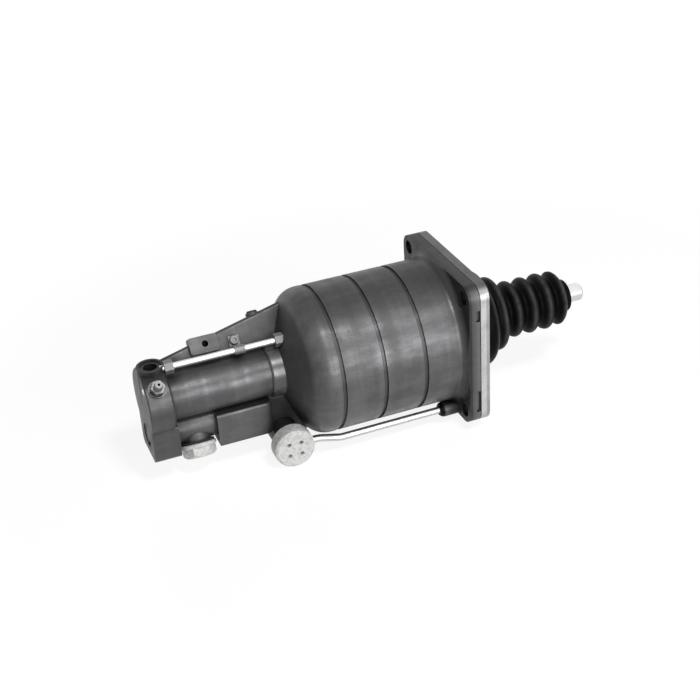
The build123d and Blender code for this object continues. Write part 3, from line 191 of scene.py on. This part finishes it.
class Finish:
    """A material whose nodes come from one method."""

    def __init__(self, name, tree=None):
        if tree is None:
            self.material = bpy.data.materials.new(name)
            self.material.use_nodes = True
            tree = self.material.node_tree
        self.tree = tree
        tree.nodes.clear()

    def node(self, kind, settings=None, inputs=(), output=0, **sockets):
        """Adds a node, whose inputs are given in their order or by name."""
        made = self.tree.nodes.new(kind)
        for key, given in (settings or {}).items():
            if key == "stops":
                for element, (place, shade) in zip(made.color_ramp.elements, given):
                    element.position = place
                    element.color = grey(shade)
            else:
                setattr(made, key, given)
        for slot, given in zip(made.inputs, inputs):
            connect(self.tree, given, slot)
        for key, given in sockets.items():
            connect(self.tree, given, made.inputs[key.replace("_", " ")])
        return Value(self.tree, made.outputs[output]) if made.outputs else None

    def spot(self):
        """The place on the piece, in metres from the origin."""
        return self.node("ShaderNodeTexCoord", output="Object")

    def part(self, vector, axis):
        """A vector's part along one axis."""
        return self.node("ShaderNodeSeparateXYZ", output=axis, Vector=vector)

    def millimetres(self):
        """The place along X, Y and Z, in millimetres."""
        spot = self.spot()
        return [self.part(spot, axis) / MM for axis in "XYZ"]

    def noise(self, spot, scale, detail, roughness, stretch=None):
        if stretch:
            spot = self.node("ShaderNodeMapping", Vector=spot, Scale=stretch)
        return self.node(
            "ShaderNodeTexNoise", Vector=spot, Scale=scale, Detail=detail, Roughness=roughness
        )

    def ramp(self, value, first, last):
        """Value spread between two stops, each a place and what it becomes."""
        return self.node("ShaderNodeValToRGB", {"stops": (first, last)}, Fac=value)

    def tint(self, value, colour):
        """A colour made lighter or darker by a value."""
        return self.node("ShaderNodeVectorMath", {"operation": "SCALE"}, Vector=colour, Scale=value)

    def surface(self, bump, depth, strength, **sockets):
        """The surface shader, with a bump that is so many metres deep."""
        normal = self.node("ShaderNodeBump", Height=bump, Strength=strength, Distance=depth)
        shader = self.node("ShaderNodeBsdfPrincipled", Normal=normal, **sockets)
        self.node("ShaderNodeOutputMaterial", Surface=shader)
        return self.material


print("a finish can do:", skills(Finish))

# %% [markdown]
# The photograph shows the servo cut out on white. A white world would give that, but it would also
# light every side alike and wash the dark casting out. So the world is white only to rays that look
# straight at it or see it mirrored, and it stays dim as a lamp.

# %% World
WORLD_LEVEL = 0.09

scene.view_settings.view_transform = "Standard"
world = bpy.data.worlds.new("studio")
world.use_nodes = True
scene.world = world
sky = Finish("sky", world.node_tree)
rays = [
    sky.node("ShaderNodeLightPath", output=kind)
    for kind in ("Is Camera Ray", "Is Glossy Ray", "Is Transmission Ray")
]
seen = (rays[0] + rays[1]).math("ADD", rays[2], clamp=True)
brightness = WORLD_LEVEL + (1 - WORLD_LEVEL) * seen
background = sky.node("ShaderNodeBackground", Color=grey(1.0), Strength=brightness)
sky.node("ShaderNodeOutputWorld", Surface=background)
print("the world lights with a share of", WORLD_LEVEL)

# %% [markdown]
# The servo lies on white paper. Matt paper alone comes out grey between the lamps, and glowing paper
# loses the shadow that seats the servo on it. The two are mixed, with more glow for what the camera
# sees, and more again far out, where the paper has to meet the white world without an edge.

# %% Table
MIDDLE = Vector((-0.07, 0.0, 0.0))
LOWEST = cad_box[0][2]
PAPER_RADIUS = 4.0
PAPER_SIDES = 64
PAPER_GAP = 0.0005
PAPER_WHITE = 0.9
GLOW = 1.15
GLOW_SHARE = 0.30
SEEN_SHARE = 0.45
FAR_SHARE = 0.25
FAR_START = 0.35
FAR_END = 1.0


def piece_from(mesh, name, material):
    """Turns a finished bmesh into an object at the origin."""
    data = bpy.data.meshes.new(name)
    mesh.to_mesh(data)
    mesh.free()
    data.materials.append(material)
    made = bpy.data.objects.new(name, data)
    scene.collection.objects.link(made)
    return made


def table_paper():
    """Paper that partly glows, more so to the camera and far from the middle."""
    paper = Finish("table_paper")
    glowing = paper.node("ShaderNodeEmission", Color=grey(1.0), Strength=GLOW)
    matt = paper.node("ShaderNodeBsdfDiffuse", Color=grey(PAPER_WHITE))
    seen = paper.node("ShaderNodeLightPath", output="Is Camera Ray")
    spot = paper.spot()
    x, y = paper.part(spot, "X"), paper.part(spot, "Y")
    far = paper.ramp((x * x + y * y) ** 0.5, (FAR_START, 0.0), (FAR_END, 1.0))
    glow = GLOW_SHARE + seen * (SEEN_SHARE + FAR_SHARE * far)
    mixed = paper.node("ShaderNodeMixShader", inputs=(glow, matt, glowing))
    paper.node("ShaderNodeOutputMaterial", Surface=mixed)
    return paper.material


disc = bmesh.new()
bmesh.ops.create_circle(disc, cap_ends=True, segments=PAPER_SIDES, radius=PAPER_RADIUS)
bmesh.ops.translate(disc, verts=disc.verts, vec=(MIDDLE.x, 0, LOWEST - PAPER_GAP))
table = piece_from(disc, "table", table_paper())
table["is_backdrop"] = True
print("the paper lies at", round(LOWEST - PAPER_GAP, 4), "m")

# %% [markdown]
# One lamp would leave half of the casting black, so three soft ones model the shape. A large one in
# front fills the sides, a small high one draws the bright streaks along both cylinders, and a large
# low one behind lifts the far side. That one is hidden from shiny faces, because the top of the
# cylinder would mirror it as a white line that the photograph doesn't have.

# %% Lamps
def lamp(name, azimuth, elevation, distance, size, power):
    """Square lamp that looks at the servo, in degrees, metres and watts."""
    way = direction(azimuth, elevation)
    light = bpy.data.lights.new(name, "AREA")
    light.size = size
    light.energy = power
    made = bpy.data.objects.new(name, light)
    turn = way.to_track_quat("Z", "Y").to_matrix().to_4x4()
    made.matrix_world = Matrix.Translation(MIDDLE + way * distance) @ turn
    scene.collection.objects.link(made)
    return made


lamp("front_lamp", azimuth=12, elevation=10, distance=1.8, size=1.1, power=18)
lamp("streak_lamp", azimuth=10, elevation=57, distance=1.6, size=0.26, power=11)
back_lamp = lamp("back_lamp", azimuth=170, elevation=12, distance=1.9, size=0.9, power=15)
back_lamp.visible_glossy = False
print("lamps:", [light.name for light in bpy.data.lights])

# %% [markdown]
# Wear and shade follow the shape: every corner gets painted shade, edges are lighter with wear and a
# painted highlight, and faces that look up on the casting get painted shade. Painting all that by
# hand would tie it to one picture. These helpers find such places instead: a band round a given
# distance, the shade in a hollow, the lean of a rounded edge, and the upward part of a normal. Each
# gives a value between 0 and 1. The largest sizes come from the solids' box.

# %% Places of wear, painted shade and painted highlight
HALF_FLANGE = cad_box[1][1] / MM
FLANGE_OVERHANG = 2.0
CYLINDER = HALF_FLANGE - FLANGE_OVERHANG
PAST_CYLINDER = CYLINDER + 0.2


def near(value, centre, reach, soft):
    """1 within reach of the centre, fading to 0 over a soft edge."""
    away = (value - centre).math("ABSOLUTE")
    return ((reach + soft - away) / soft).math("MINIMUM", 1.0).math("MAXIMUM", 0.0)


def hollow_shade(finish, reach, dark_below, clear_above):
    """Painted shade: 1 in corners and hollows that lie within reach of another wall."""
    settings = {"samples": 8}
    openness = finish.node("ShaderNodeAmbientOcclusion", settings, output="AO", Distance=reach * MM)
    return finish.ramp(openness, (dark_below, 1.0), (clear_above, 0.0))


def worn_highlit_edges(finish, radius, low, high):
    """1 along edges: there a rounded normal leans away from the true one."""
    rounded = finish.node("ShaderNodeBevel", {"samples": 6}, Radius=radius * MM)
    true = finish.node("ShaderNodeNewGeometry", output="True Normal")
    settings = {"operation": "DOT_PRODUCT"}
    lean = finish.node("ShaderNodeVectorMath", settings, inputs=(rounded, true), output="Value")
    return finish.ramp(1 - lean, (low, 0.0), (high, 1.0))


def facing_up(finish, low, high):
    """0 on faces that look up by less than low, and 1 on those past high."""
    normal = finish.node("ShaderNodeNewGeometry", output="Normal")
    return finish.ramp(finish.part(normal, "Z"), (low, 0.0), (high, 1.0))


print("flange", round(2 * HALF_FLANGE, 1), "mm square, cylinder", round(2 * CYLINDER, 1), "mm round")

# %% [markdown]
# The housing is one aluminium casting that has darkened with use. Fluid has run down round the open
# port and over the end boss, and the flange is greasy all round. Painted shade darkens every corner,
# the neck behind the shoulder and the flange's fillet, and a thin dark line runs along the back of
# the flange's sides. The places are known from the solid's own sizes, so each is a band along the
# axis with a soft edge. One sum adds them up, and it can't pass 1.

# %% Oil and painted shade on the casting
PORT = (-240.0, 0.0, 34.0)
PORT_STAIN = {"centre": 0.0, "reach": 16.0, "soft": 12.0}
# Where painted shade darkens the neck behind the shoulder.
NECK = {"centre": -148.0, "reach": 12.0, "soft": 9.0}
NECK_RADIUS = {"centre": 30.0, "reach": 20.0, "soft": 8.0}
END_BOSS = {"centre": -240.0, "reach": 14.0, "soft": 8.0}
FLANGE = {"centre": -9.0, "reach": 9.0, "soft": 10.0}
FILLET = {"centre": -19.7, "reach": 3.5, "soft": 2.5}
DARK_LINE = {"centre": -16.2, "reach": 0.9, "soft": 1.2}


def oil_and_shade_on_casting(cast, place, radius, patchy):
    """Fluid stains with painted shade: 1 where the casting is blackest, less where the fluid has
    dried.
    """
    x = place[0]
    dx, dy, dz = (along - start for along, start in zip(place, PORT))
    port = near((dx * dx + dy * dy + dz * dz) ** 0.5, **PORT_STAIN) * (0.6 + patchy)
    # Painted shade on the neck and the steep wall behind the shoulder, which face away from the
    # lamps.
    neck_shade = near(x, **NECK) * near(radius, **NECK_RADIUS)
    boss = near(x, **END_BOSS) * (0.35 + 0.4 * patchy)
    # Painted shade in the flange's fillet, which dims the lamp's highlight there.
    fillet_shade = near(x, **FILLET) * radius.above(PAST_CYLINDER)
    # A thin dark line along the back edge of the flange's sides.
    dark_line = near(x, **DARK_LINE) * radius.above(PAST_CYLINDER)
    # Painted shade: an ambient occlusion node darkens every corner and hollow.
    corner_shade = hollow_shade(cast, reach=22.0, dark_below=0.42, clear_above=0.86)
    # Fluid stains and grime, with the painted shade added in.
    oil_and_shade = 0.75 * corner_shade + 0.55 * neck_shade + 1.4 * port + 0.6 * boss
    oil_and_shade = oil_and_shade + 0.35 * near(x, **FLANGE) + 0.45 * fillet_shade + dark_line
    return oil_and_shade.math("MINIMUM", 1.0)


print("the oil is blackest within", PORT_STAIN["reach"], "mm of the port")

# %% [markdown]
# A cast skin is never even. A fine noise is the grain that the mould left, a wide one the cloudy
# patches, and two stretched ones the smears along the axis and the bands round it, where hands and
# rags have rubbed. The skin could be one flat grey with a bump, but then it would look like paint.
# So the rubbed places are lighter and smoother, upper faces are darker with painted shade and duller,
# the groove floors are darkened with painted shade, the turned collar shines, and the edges are
# lighter with wear and a painted highlight.

# %% Cast aluminium
def between(value, low, high):
    return value.above(low) * value.below(high)


GROOVE_FLOOR = {"low": 53.8, "high": 55.4}
GROOVE_SPAN = {"low": -118.0, "high": -46.0}
COLLAR = {"centre": -151.4, "reach": 4.4, "soft": 1.0}
COLLAR_RADIUS = {"centre": 20.2, "reach": 1.2, "soft": 0.4}
TOP_SHADE_NEAR_FLANGE = {"centre": -8.0, "reach": 12.0, "soft": 34.0}
GASKET_EDGE = {"centre": -7.7, "reach": 1.5, "soft": 5.0}
CAST_TINT = (1.0, 1.0, 1.03)


def cast_aluminium():
    cast = Finish("cast_aluminium")
    spot = cast.spot()
    x, y, z = place = cast.millimetres()
    radius = (y * y + z * z) ** 0.5
    grain = cast.noise(spot, scale=900.0, detail=4.0, roughness=0.7)
    clouds = cast.noise(spot, scale=26.0, detail=5.0, roughness=0.62)
    smears = cast.noise(spot, scale=90.0, detail=5.0, roughness=0.65, stretch=(0.32, 1.0, 1.0))
    bands = cast.noise(spot, scale=110.0, detail=3.0, roughness=0.55, stretch=(1.0, 0.06, 0.06))
    specks = cast.noise(spot, scale=650.0, detail=2.0, roughness=0.5)
    rubbed = cast.ramp(smears * 0.6 + bands * 0.4, (0.44, 0.0), (0.60, 1.0))
    pits = cast.ramp(specks, (0.27, 1.0), (0.36, 0.0))
    patchy = cast.ramp(clouds, (0.36, 0.0), (0.64, 1.0))

    # Painted shade: the groove floors are darkened.
    groove_shade = between(radius, **GROOVE_FLOOR) * between(x, **GROOVE_SPAN)
    collar = near(x, **COLLAR) * near(radius, **COLLAR_RADIUS)
    # Wear and painted highlight: rounded edges are lighter and more metallic, most where the smears
    # lie.
    edge_wear_and_highlight = worn_highlit_edges(cast, radius=1.2, low=0.04, high=0.30)
    edge_wear_and_highlight = edge_wear_and_highlight * cast.ramp(smears, (0.40, 0.1), (0.62, 1.0))
    clean_lip = near(x, **GASKET_EDGE) * radius.above(PAST_CYLINDER)
    oil_and_shade = oil_and_shade_on_casting(cast, place, radius, patchy)
    # Painted shade: faces that look up are darkened, patchily, and made duller and less metallic.
    upward_shade = facing_up(cast, low=0.62, high=0.97) * (0.75 + 0.25 * patchy)

    shade = 0.068 + 0.030 * patchy + 0.045 * rubbed + 0.03 * grain
    shade = shade * (1 - 0.25 * groove_shade) * (1 - 0.68 * oil_and_shade) * (1 - 0.55 * upward_shade)
    # More painted shade on the upward faces near the flange.
    shade = shade * (1 - 0.55 * upward_shade * near(x, **TOP_SHADE_NEAR_FLANGE))
    shade = shade + 0.05 * collar + 0.10 * edge_wear_and_highlight + 0.065 * clean_lip * (1 - upward_shade)
    return cast.surface(
        bump=(grain + smears * 0.5 - pits * 0.5) * (1 - 0.8 * collar),
        depth=0.0002,
        strength=0.5,
        Base_Color=cast.tint(shade, CAST_TINT),
        Metallic=0.26 + 0.2 * collar + 0.3 * edge_wear_and_highlight + 0.18 * rubbed - 0.18 * upward_shade,
        Roughness=0.35 + 0.10 * clouds + 0.1 * pits - 0.1 * collar + 0.1 * upward_shade - 0.10 * rubbed,
        Specular_IOR_Level=0.35,
    )


finishes = {"cast_aluminium": cast_aluminium()}
print("nodes in the casting's finish:", len(finishes["cast_aluminium"].node_tree.nodes))

# %% [markdown]
# The end plate is ground steel, so it is the brightest flat part. Grinding leaves fine parallel
# lines, which a noise stretched along one axis gives. Its top edge is darker, its sides are stained,
# and a strip of painted shade runs along the front of its sides, where a chamfer would turn from the
# light.

# %% Ground steel
NO_TINT = (1.0, 1.0, 1.0)
PLATE_FRONT = {"centre": 0.0, "reach": 2.2, "soft": 0.7}
PLATE_SIDE = HALF_FLANGE - 1.0


def ground_steel():
    steel = Finish("ground_steel")
    spot = steel.spot()
    x, y, _ = steel.millimetres()
    lines = steel.noise(spot, scale=900.0, detail=2.0, roughness=0.5, stretch=(1.0, 0.03, 1.0))
    clouds = steel.noise(spot, scale=40.0, detail=4.0, roughness=0.6)
    stains = steel.noise(spot, scale=75.0, detail=4.0, roughness=0.65)
    stained = steel.ramp(stains, (0.42, 0.0), (0.66, 1.0))
    # The plate's upward top edge is darkened.
    darker_top = facing_up(steel, low=0.3, high=0.9)
    # Painted shade: a strip along the front of the plate's sides is darkened, as a chamfer there
    # would be.
    chamfer_shade = near(x, **PLATE_FRONT) * y.math("ABSOLUTE").above(PLATE_SIDE)
    shade = 0.56 + 0.12 * clouds + 0.06 * lines
    shade = shade * (1 - 0.80 * darker_top) * (1 - 0.36 * chamfer_shade) * (1 - 0.25 * stained)
    return steel.surface(
        bump=lines,
        depth=0.00004,
        strength=0.3,
        Base_Color=steel.tint(shade, NO_TINT),
        Metallic=0.75,
        Roughness=0.34 + 0.12 * clouds,
    )


finishes["plate_steel"] = ground_steel()
print("finishes so far:", len(finishes))

# %% [markdown]
# Small fittings are turned or plated. A lathe leaves rings round the axis, which a noise drawn out
# across that axis copies, and plating is smooth, pale and a little cloudy. One function makes them
# all, because they differ only in how light, warm and polished they are.

# %% Turned and plated metal
def metal(name, level, warm=0.0, roughness=0.25, metallic=1.0, rings=0.0):
    """Metal of a given lightness, with clouds and fine rings."""
    steel = Finish(name)
    spot = steel.spot()
    clouds = steel.noise(spot, scale=120.0, detail=4.0, roughness=0.6)
    fine = steel.noise(spot, scale=2500.0, detail=2.0, roughness=0.5, stretch=(1.0, 0.05, 0.05))
    shade = level * (0.88 + 0.2 * clouds + rings * fine)
    return steel.surface(
        bump=fine,
        depth=0.00002,
        strength=0.25,
        Base_Color=steel.tint(shade, (1 + warm, 1.0, 1 - warm)),
        Metallic=metallic,
        Roughness=roughness + 0.1 * clouds,
    )


METALS = {
    "bright_steel": {"level": 0.78, "roughness": 0.16, "rings": 0.1},
    "zinc_steel": {"level": 0.72, "roughness": 0.28},
    "spring_steel": {"level": 0.25, "roughness": 0.35},
    "turned_aluminium": {"level": 0.66, "roughness": 0.3, "rings": 0.15},
    "bronze": {"level": 0.45, "warm": 0.3, "roughness": 0.35},
    "valve_brass": {"level": 0.55, "warm": 0.28, "roughness": 0.28},
    "dull_plating": {"level": 0.20, "roughness": 0.42, "metallic": 0.6},
}
for name, look in METALS.items():
    finishes[name] = metal(name, **look)
print("metals:", list(METALS))

# %% [markdown]
# Rubber is never quite black: it has a dull skin with a faint bloom. On the boot, grey rings of
# painted highlight lie on the crests, a little toward the lit flank of each fold, and a noise breaks
# them up. A texture can't tell a crest from a valley once the boot folds, so the boot will carry its
# ridges as an attribute, and the finish reads that.

# %% Rubber
GRAIN = {"scale": 1400.0, "detail": 2.0, "roughness": 0.6}
RUBBER_BUMP = {"depth": 0.00005, "strength": 0.4}


def seal_rubber():
    skin = Finish("black_rubber")
    spot = skin.spot()
    bloom = skin.noise(spot, scale=70.0, detail=4.0, roughness=0.6)
    return skin.surface(
        bump=skin.noise(spot, **GRAIN),
        **RUBBER_BUMP,
        Base_Color=skin.tint(0.003 * (0.6 + 1.1 * bloom), NO_TINT),
        Roughness=0.24 + 0.15 * bloom,
        Specular_IOR_Level=0.09,
    )


def boot_rubber():
    """Rubber with grey rings of painted highlight on its crests, which an attribute of the boot
    marks.
    """
    skin = Finish("boot_rubber")
    spot = skin.spot()
    ridge_highlight = skin.node("ShaderNodeAttribute", {"attribute_name": "ridge_highlight"}, output="Fac")
    dust_and_sheen = skin.noise(spot, scale=160.0, detail=4.0, roughness=0.65)
    return skin.surface(
        bump=skin.noise(spot, **GRAIN),
        **RUBBER_BUMP,
        # Painted highlight: grey rings where the boot's attribute marks its crests.
        Base_Color=skin.tint(0.001 + 0.002 * dust_and_sheen + 0.11 * ridge_highlight * dust_and_sheen, NO_TINT),
        Roughness=0.30 + 0.2 * dust_and_sheen,
        Specular_IOR_Level=0.05,
    )


finishes["black_rubber"] = seal_rubber()
finishes["boot_rubber"] = boot_rubber()
print("finishes so far:", len(finishes))

# %% [markdown]
# The plug and the silencer are pale mouldings that grit has speckled. A noise passed through a steep
# ramp gives such specks, and the same specks dent the surface a little. The gasket's fibre and the
# silencer's felt differ only in shade and dullness, so one function serves all four.

# %% Plastic, fibre and felt
MOULDED_TINT = (1.0, 1.0, 0.98)


def moulding(name, level, speckle, roughness=0.45):
    """Moulded stuff of a given lightness, with darker specks."""
    plastic = Finish(name)
    spot = plastic.spot()
    grit = plastic.noise(spot, scale=430.0, detail=3.0, roughness=0.7)
    specks = plastic.ramp(grit, (0.32, 1.0), (0.56, 0.0))
    clouds = plastic.noise(spot, scale=90.0, detail=3.0, roughness=0.6)
    shade = level * (0.9 + 0.2 * clouds) - speckle * specks
    return plastic.surface(
        bump=specks,
        depth=0.00006,
        strength=0.3,
        Base_Color=plastic.tint(shade, MOULDED_TINT),
        Roughness=roughness + 0.1 * clouds,
    )


MOULDINGS = {
    "black_plastic": {"level": 0.02, "speckle": 0.0},
    "white_plastic": {"level": 0.68, "speckle": 0.22},
    "grey_fibre": {"level": 0.02, "speckle": 0.01, "roughness": 0.8},
    "felt": {"level": 0.4, "speckle": 0.2, "roughness": 0.95},
}
for name, look in MOULDINGS.items():
    finishes[name] = moulding(name, **look)
print("mouldings:", list(MOULDINGS))

# %% [markdown]
# Each solid says what it is made of, so its finish can be looked up and nothing is dressed by hand.
# The bleed screw and the fittings along the air pipe are plated like the rest, but in the photograph
# they are nearly as dark as the casting, so they get the dull plating instead.

# %% Dress the solids
DULL_NODES = ("air_pipe_nuts", "pipe_clip", "clip_screw", "bleed_screw")

for part in frame["record"]["subparts"]:
    name = part["node"]
    chosen = "dull_plating" if name in DULL_NODES else part["material_slot"]
    nodes[name].data.materials.clear()
    nodes[name].data.materials.append(finishes[chosen])

# %% [markdown]
# The boot is one rubber moulding: a cuff stretched over the plate's spigot, a small fold, and four
# large ones that close up as the rod draws in. Folds could be modelled ring by ring, but every ring
# is round, so a single outline says it all. The outside runs from the cuff to the rod, the inside
# comes back one wall thickness further in, and the large folds are a cosine wave. The collar on the
# rod takes the place of the wave's last few points.

# %% Boot outline
SPIGOT = 36.0
SEAT_GAP = 0.08
CREST = 22.6
VALLEY = 17.5
FOLD = 13.5
FOLD_COUNT = 4
CONE_END = 33.0
FOLDS_START = CONE_END + FOLD / 2
STEPS_PER_FOLD = 10
CREST_FULLNESS = 0.85
WALL = 2.1
WALL_START = 19.0
WALL_END = 88.0
UNDER_COLLAR = 6


def wave():
    """The large folds, as points along the boot."""
    points = []
    for i in range(FOLD_COUNT * STEPS_PER_FOLD + 1):
        share = i / STEPS_PER_FOLD
        level = (0.5 - 0.5 * math.cos(2 * math.pi * share)) ** CREST_FULLNESS
        points.append((FOLDS_START + share * FOLD, VALLEY + (CREST - VALLEY) * level))
    return points


cuff = [(0.4, SPIGOT + 2.5), (0.9, SPIGOT + 2.8), (6, SPIGOT + 2.8), (13, SPIGOT + 2.8)]
shoulder = [
    (16.5, SPIGOT + 2.4), (18.8, SPIGOT + 1.3), (20.6, SPIGOT - 0.6), (21.8, 33.0), (22.8, 30.8),
]
small_fold = [
    (24.2, 28.6), (25.8, 27.6), (27.4, 27.9), (28.8, 28.8), (30.4, 29.4), (32.0, 29.0),
    (33.4, 27.4), (34.4, 25.0), (35.4, 22.0), (36.6, 19.4), (38.0, 18.0),
]
large_folds = wave()[:-UNDER_COLLAR]
rod_collar = [
    (89.2, 18.6), (90.0, 15.2), (90.8, 13.4), (92.2, 13.0), (94.6, 13.0), (95.5, 12.8),
    (95.8, 12.2), (95.8, 9.0), (95.7, 7.0), (95.3, 6.6),
]
rod_lip = [(93.6, 6.55), (92.2, 6.6), (91.95, 7.0), (91.6, 7.3), (90.9, 7.5), (90.2, 9.0)]
seat = [(along, SPIGOT + SEAT_GAP) for along in (14.6, 8, 1.2)]
seat = [(17.4, SPIGOT - 1.0)] + seat + [(0.5, SPIGOT + 0.3)]

outside = cuff + shoulder + small_fold + large_folds + rod_collar
inside = [(along, out - WALL) for along, out in outside if WALL_START < along < WALL_END]
boot_outline = outside + rod_lip + inside[::-1] + seat
print("points in the boot's outline:", len(boot_outline))

# %% [markdown]
# The outline is spun once round the axis, and a subdivision rounds it off. The full turn ends on its
# own start, so the doubles are merged before the normals are made to point outwards. The solid boot
# has the same sizes, but sharper folds and no small one, so this piece replaces it.

# %% Boot
AROUND = 96
MERGE_WITHIN = 1e-6
CUFF_EDGE = 20.0
# Crests that carry a painted highlight; the large folds' ones sit a little back, on the flank toward
# the lamps.
SMALL_CREST = 30.2
HIGHLIGHT_SHIFT = 1.2
HIGHLIT_RIDGES = [CUFF_EDGE, SMALL_CREST]
HIGHLIT_RIDGES += [CONE_END + FOLD * (i + 1) - HIGHLIGHT_SHIFT for i in range(FOLD_COUNT)]
HIGHLIGHT_WIDTH = 1.3
INNER_RADIUS = 21.0


def spun(points, name, material):
    """Closed outline (place along X, radius) in millimetres, spun round the X axis."""
    mesh = bmesh.new()
    ring = [mesh.verts.new((along * MM, 0.0, out * MM)) for along, out in points]
    sides = [mesh.edges.new((ring[i - 1], ring[i])) for i in range(len(ring))]
    bmesh.ops.spin(
        mesh, geom=ring + sides, axis=(1, 0, 0), cent=(0, 0, 0),
        angle=2 * math.pi, steps=AROUND, use_merge=True,
    )
    bmesh.ops.remove_doubles(mesh, verts=mesh.verts, dist=MERGE_WITHIN)
    bmesh.ops.recalc_face_normals(mesh, faces=mesh.faces)
    for face in mesh.faces:
        face.smooth = True
    made = piece_from(mesh, name, material)
    soften = made.modifiers.new("soften", "SUBSURF")
    soften.levels = soften.render_levels = 1
    return made


boot = spun(boot_outline, "rubber_boot", finishes["boot_rubber"])
# Painted highlight: the attribute is 1 on the outside crests and fades away from them.
ridge_highlight = boot.data.attributes.new("ridge_highlight", "FLOAT", "POINT")
for vert in boot.data.vertices:
    away = min(abs(vert.co.x / MM - crest) for crest in HIGHLIT_RIDGES)
    on_outside = math.hypot(vert.co.y, vert.co.z) / MM > INNER_RADIUS
    ridge_highlight.data[vert.index].value = math.exp(-((away / HIGHLIGHT_WIDTH) ** 2)) if on_outside else 0.0
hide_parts("boot")
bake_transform(boot)
print("boot faces", len(boot.data.polygons))

# %% [markdown]
# The springs change length with the pieces that they push, so each is a piece of its own. A curve
# with a thickness could draw a coil, but it would have to be made a mesh before it can bend. Here a
# small disc is spun round the axis while it moves along it, which gives a mesh at once. Its length
# comes from the box of the solid that it replaces. The large spring is conical, so its rings are
# widened toward one end.

# %% Springs
COIL_STEPS = 28
WIRE_SIDES = 12
RELAY_AXIS = 28.0


def coil(name, node, radii, wire, turns, drop=0.0):
    """Coil along X in a node's box; radii are at its two ends, in millimetres."""
    low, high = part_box(node)
    start = low.x + wire * MM / 2
    length = high.x - low.x - wire * MM
    mesh = bmesh.new()
    upright = Matrix.Rotation(math.pi / 2, 3, "X")
    bmesh.ops.create_circle(mesh, cap_ends=True, segments=WIRE_SIDES, radius=wire * MM / 2)
    bmesh.ops.rotate(mesh, verts=mesh.verts, cent=(0, 0, 0), matrix=upright)
    bmesh.ops.translate(mesh, verts=mesh.verts, vec=(start, 0, radii[0] * MM))
    count = turns * COIL_STEPS
    bmesh.ops.spin(
        mesh, geom=mesh.verts[:] + mesh.edges[:] + mesh.faces[:], axis=(1, 0, 0), cent=(0, 0, 0),
        dvec=(length / count, 0, 0), angle=2 * math.pi * turns, steps=count, use_merge=False,
    )
    for vert in mesh.verts:
        share = min(max((vert.co.x - start) / length, 0.0), 1.0)
        widen = 1 + share * (radii[1] - radii[0]) / radii[0]
        vert.co.y *= widen
        vert.co.z = vert.co.z * widen - drop * MM
    bmesh.ops.recalc_face_normals(mesh, faces=mesh.faces)
    for face in mesh.faces:
        face.smooth = True
    made = piece_from(mesh, name, finishes["spring_steel"])
    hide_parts(node)
    print(name, "is", round(length / MM + wire, 1), "mm long")
    return made, low, high


spring, low, high = coil("return_coil", "return_spring", radii=(25.0, 30.3), wire=3.8, turns=6)
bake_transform(spring)
spring, low, high = coil(
    "relay_coil", "relay_spring", radii=(6.0, 6.0), wire=0.8, turns=3, drop=RELAY_AXIS
)
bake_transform(spring)
spring, low, high = coil(
    "valve_coil", "valve_spring", radii=(4.8, 4.8), wire=1.0, turns=5, drop=RELAY_AXIS
)
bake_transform(spring)

# %% [markdown]
# Last, the dressed part's size is printed, so that it can be compared with the solids.

# %% Finish
lowest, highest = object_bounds()
print("dressed part in mm:", [round((b - a) / MM, 1) for a, b in zip(lowest, highest)])
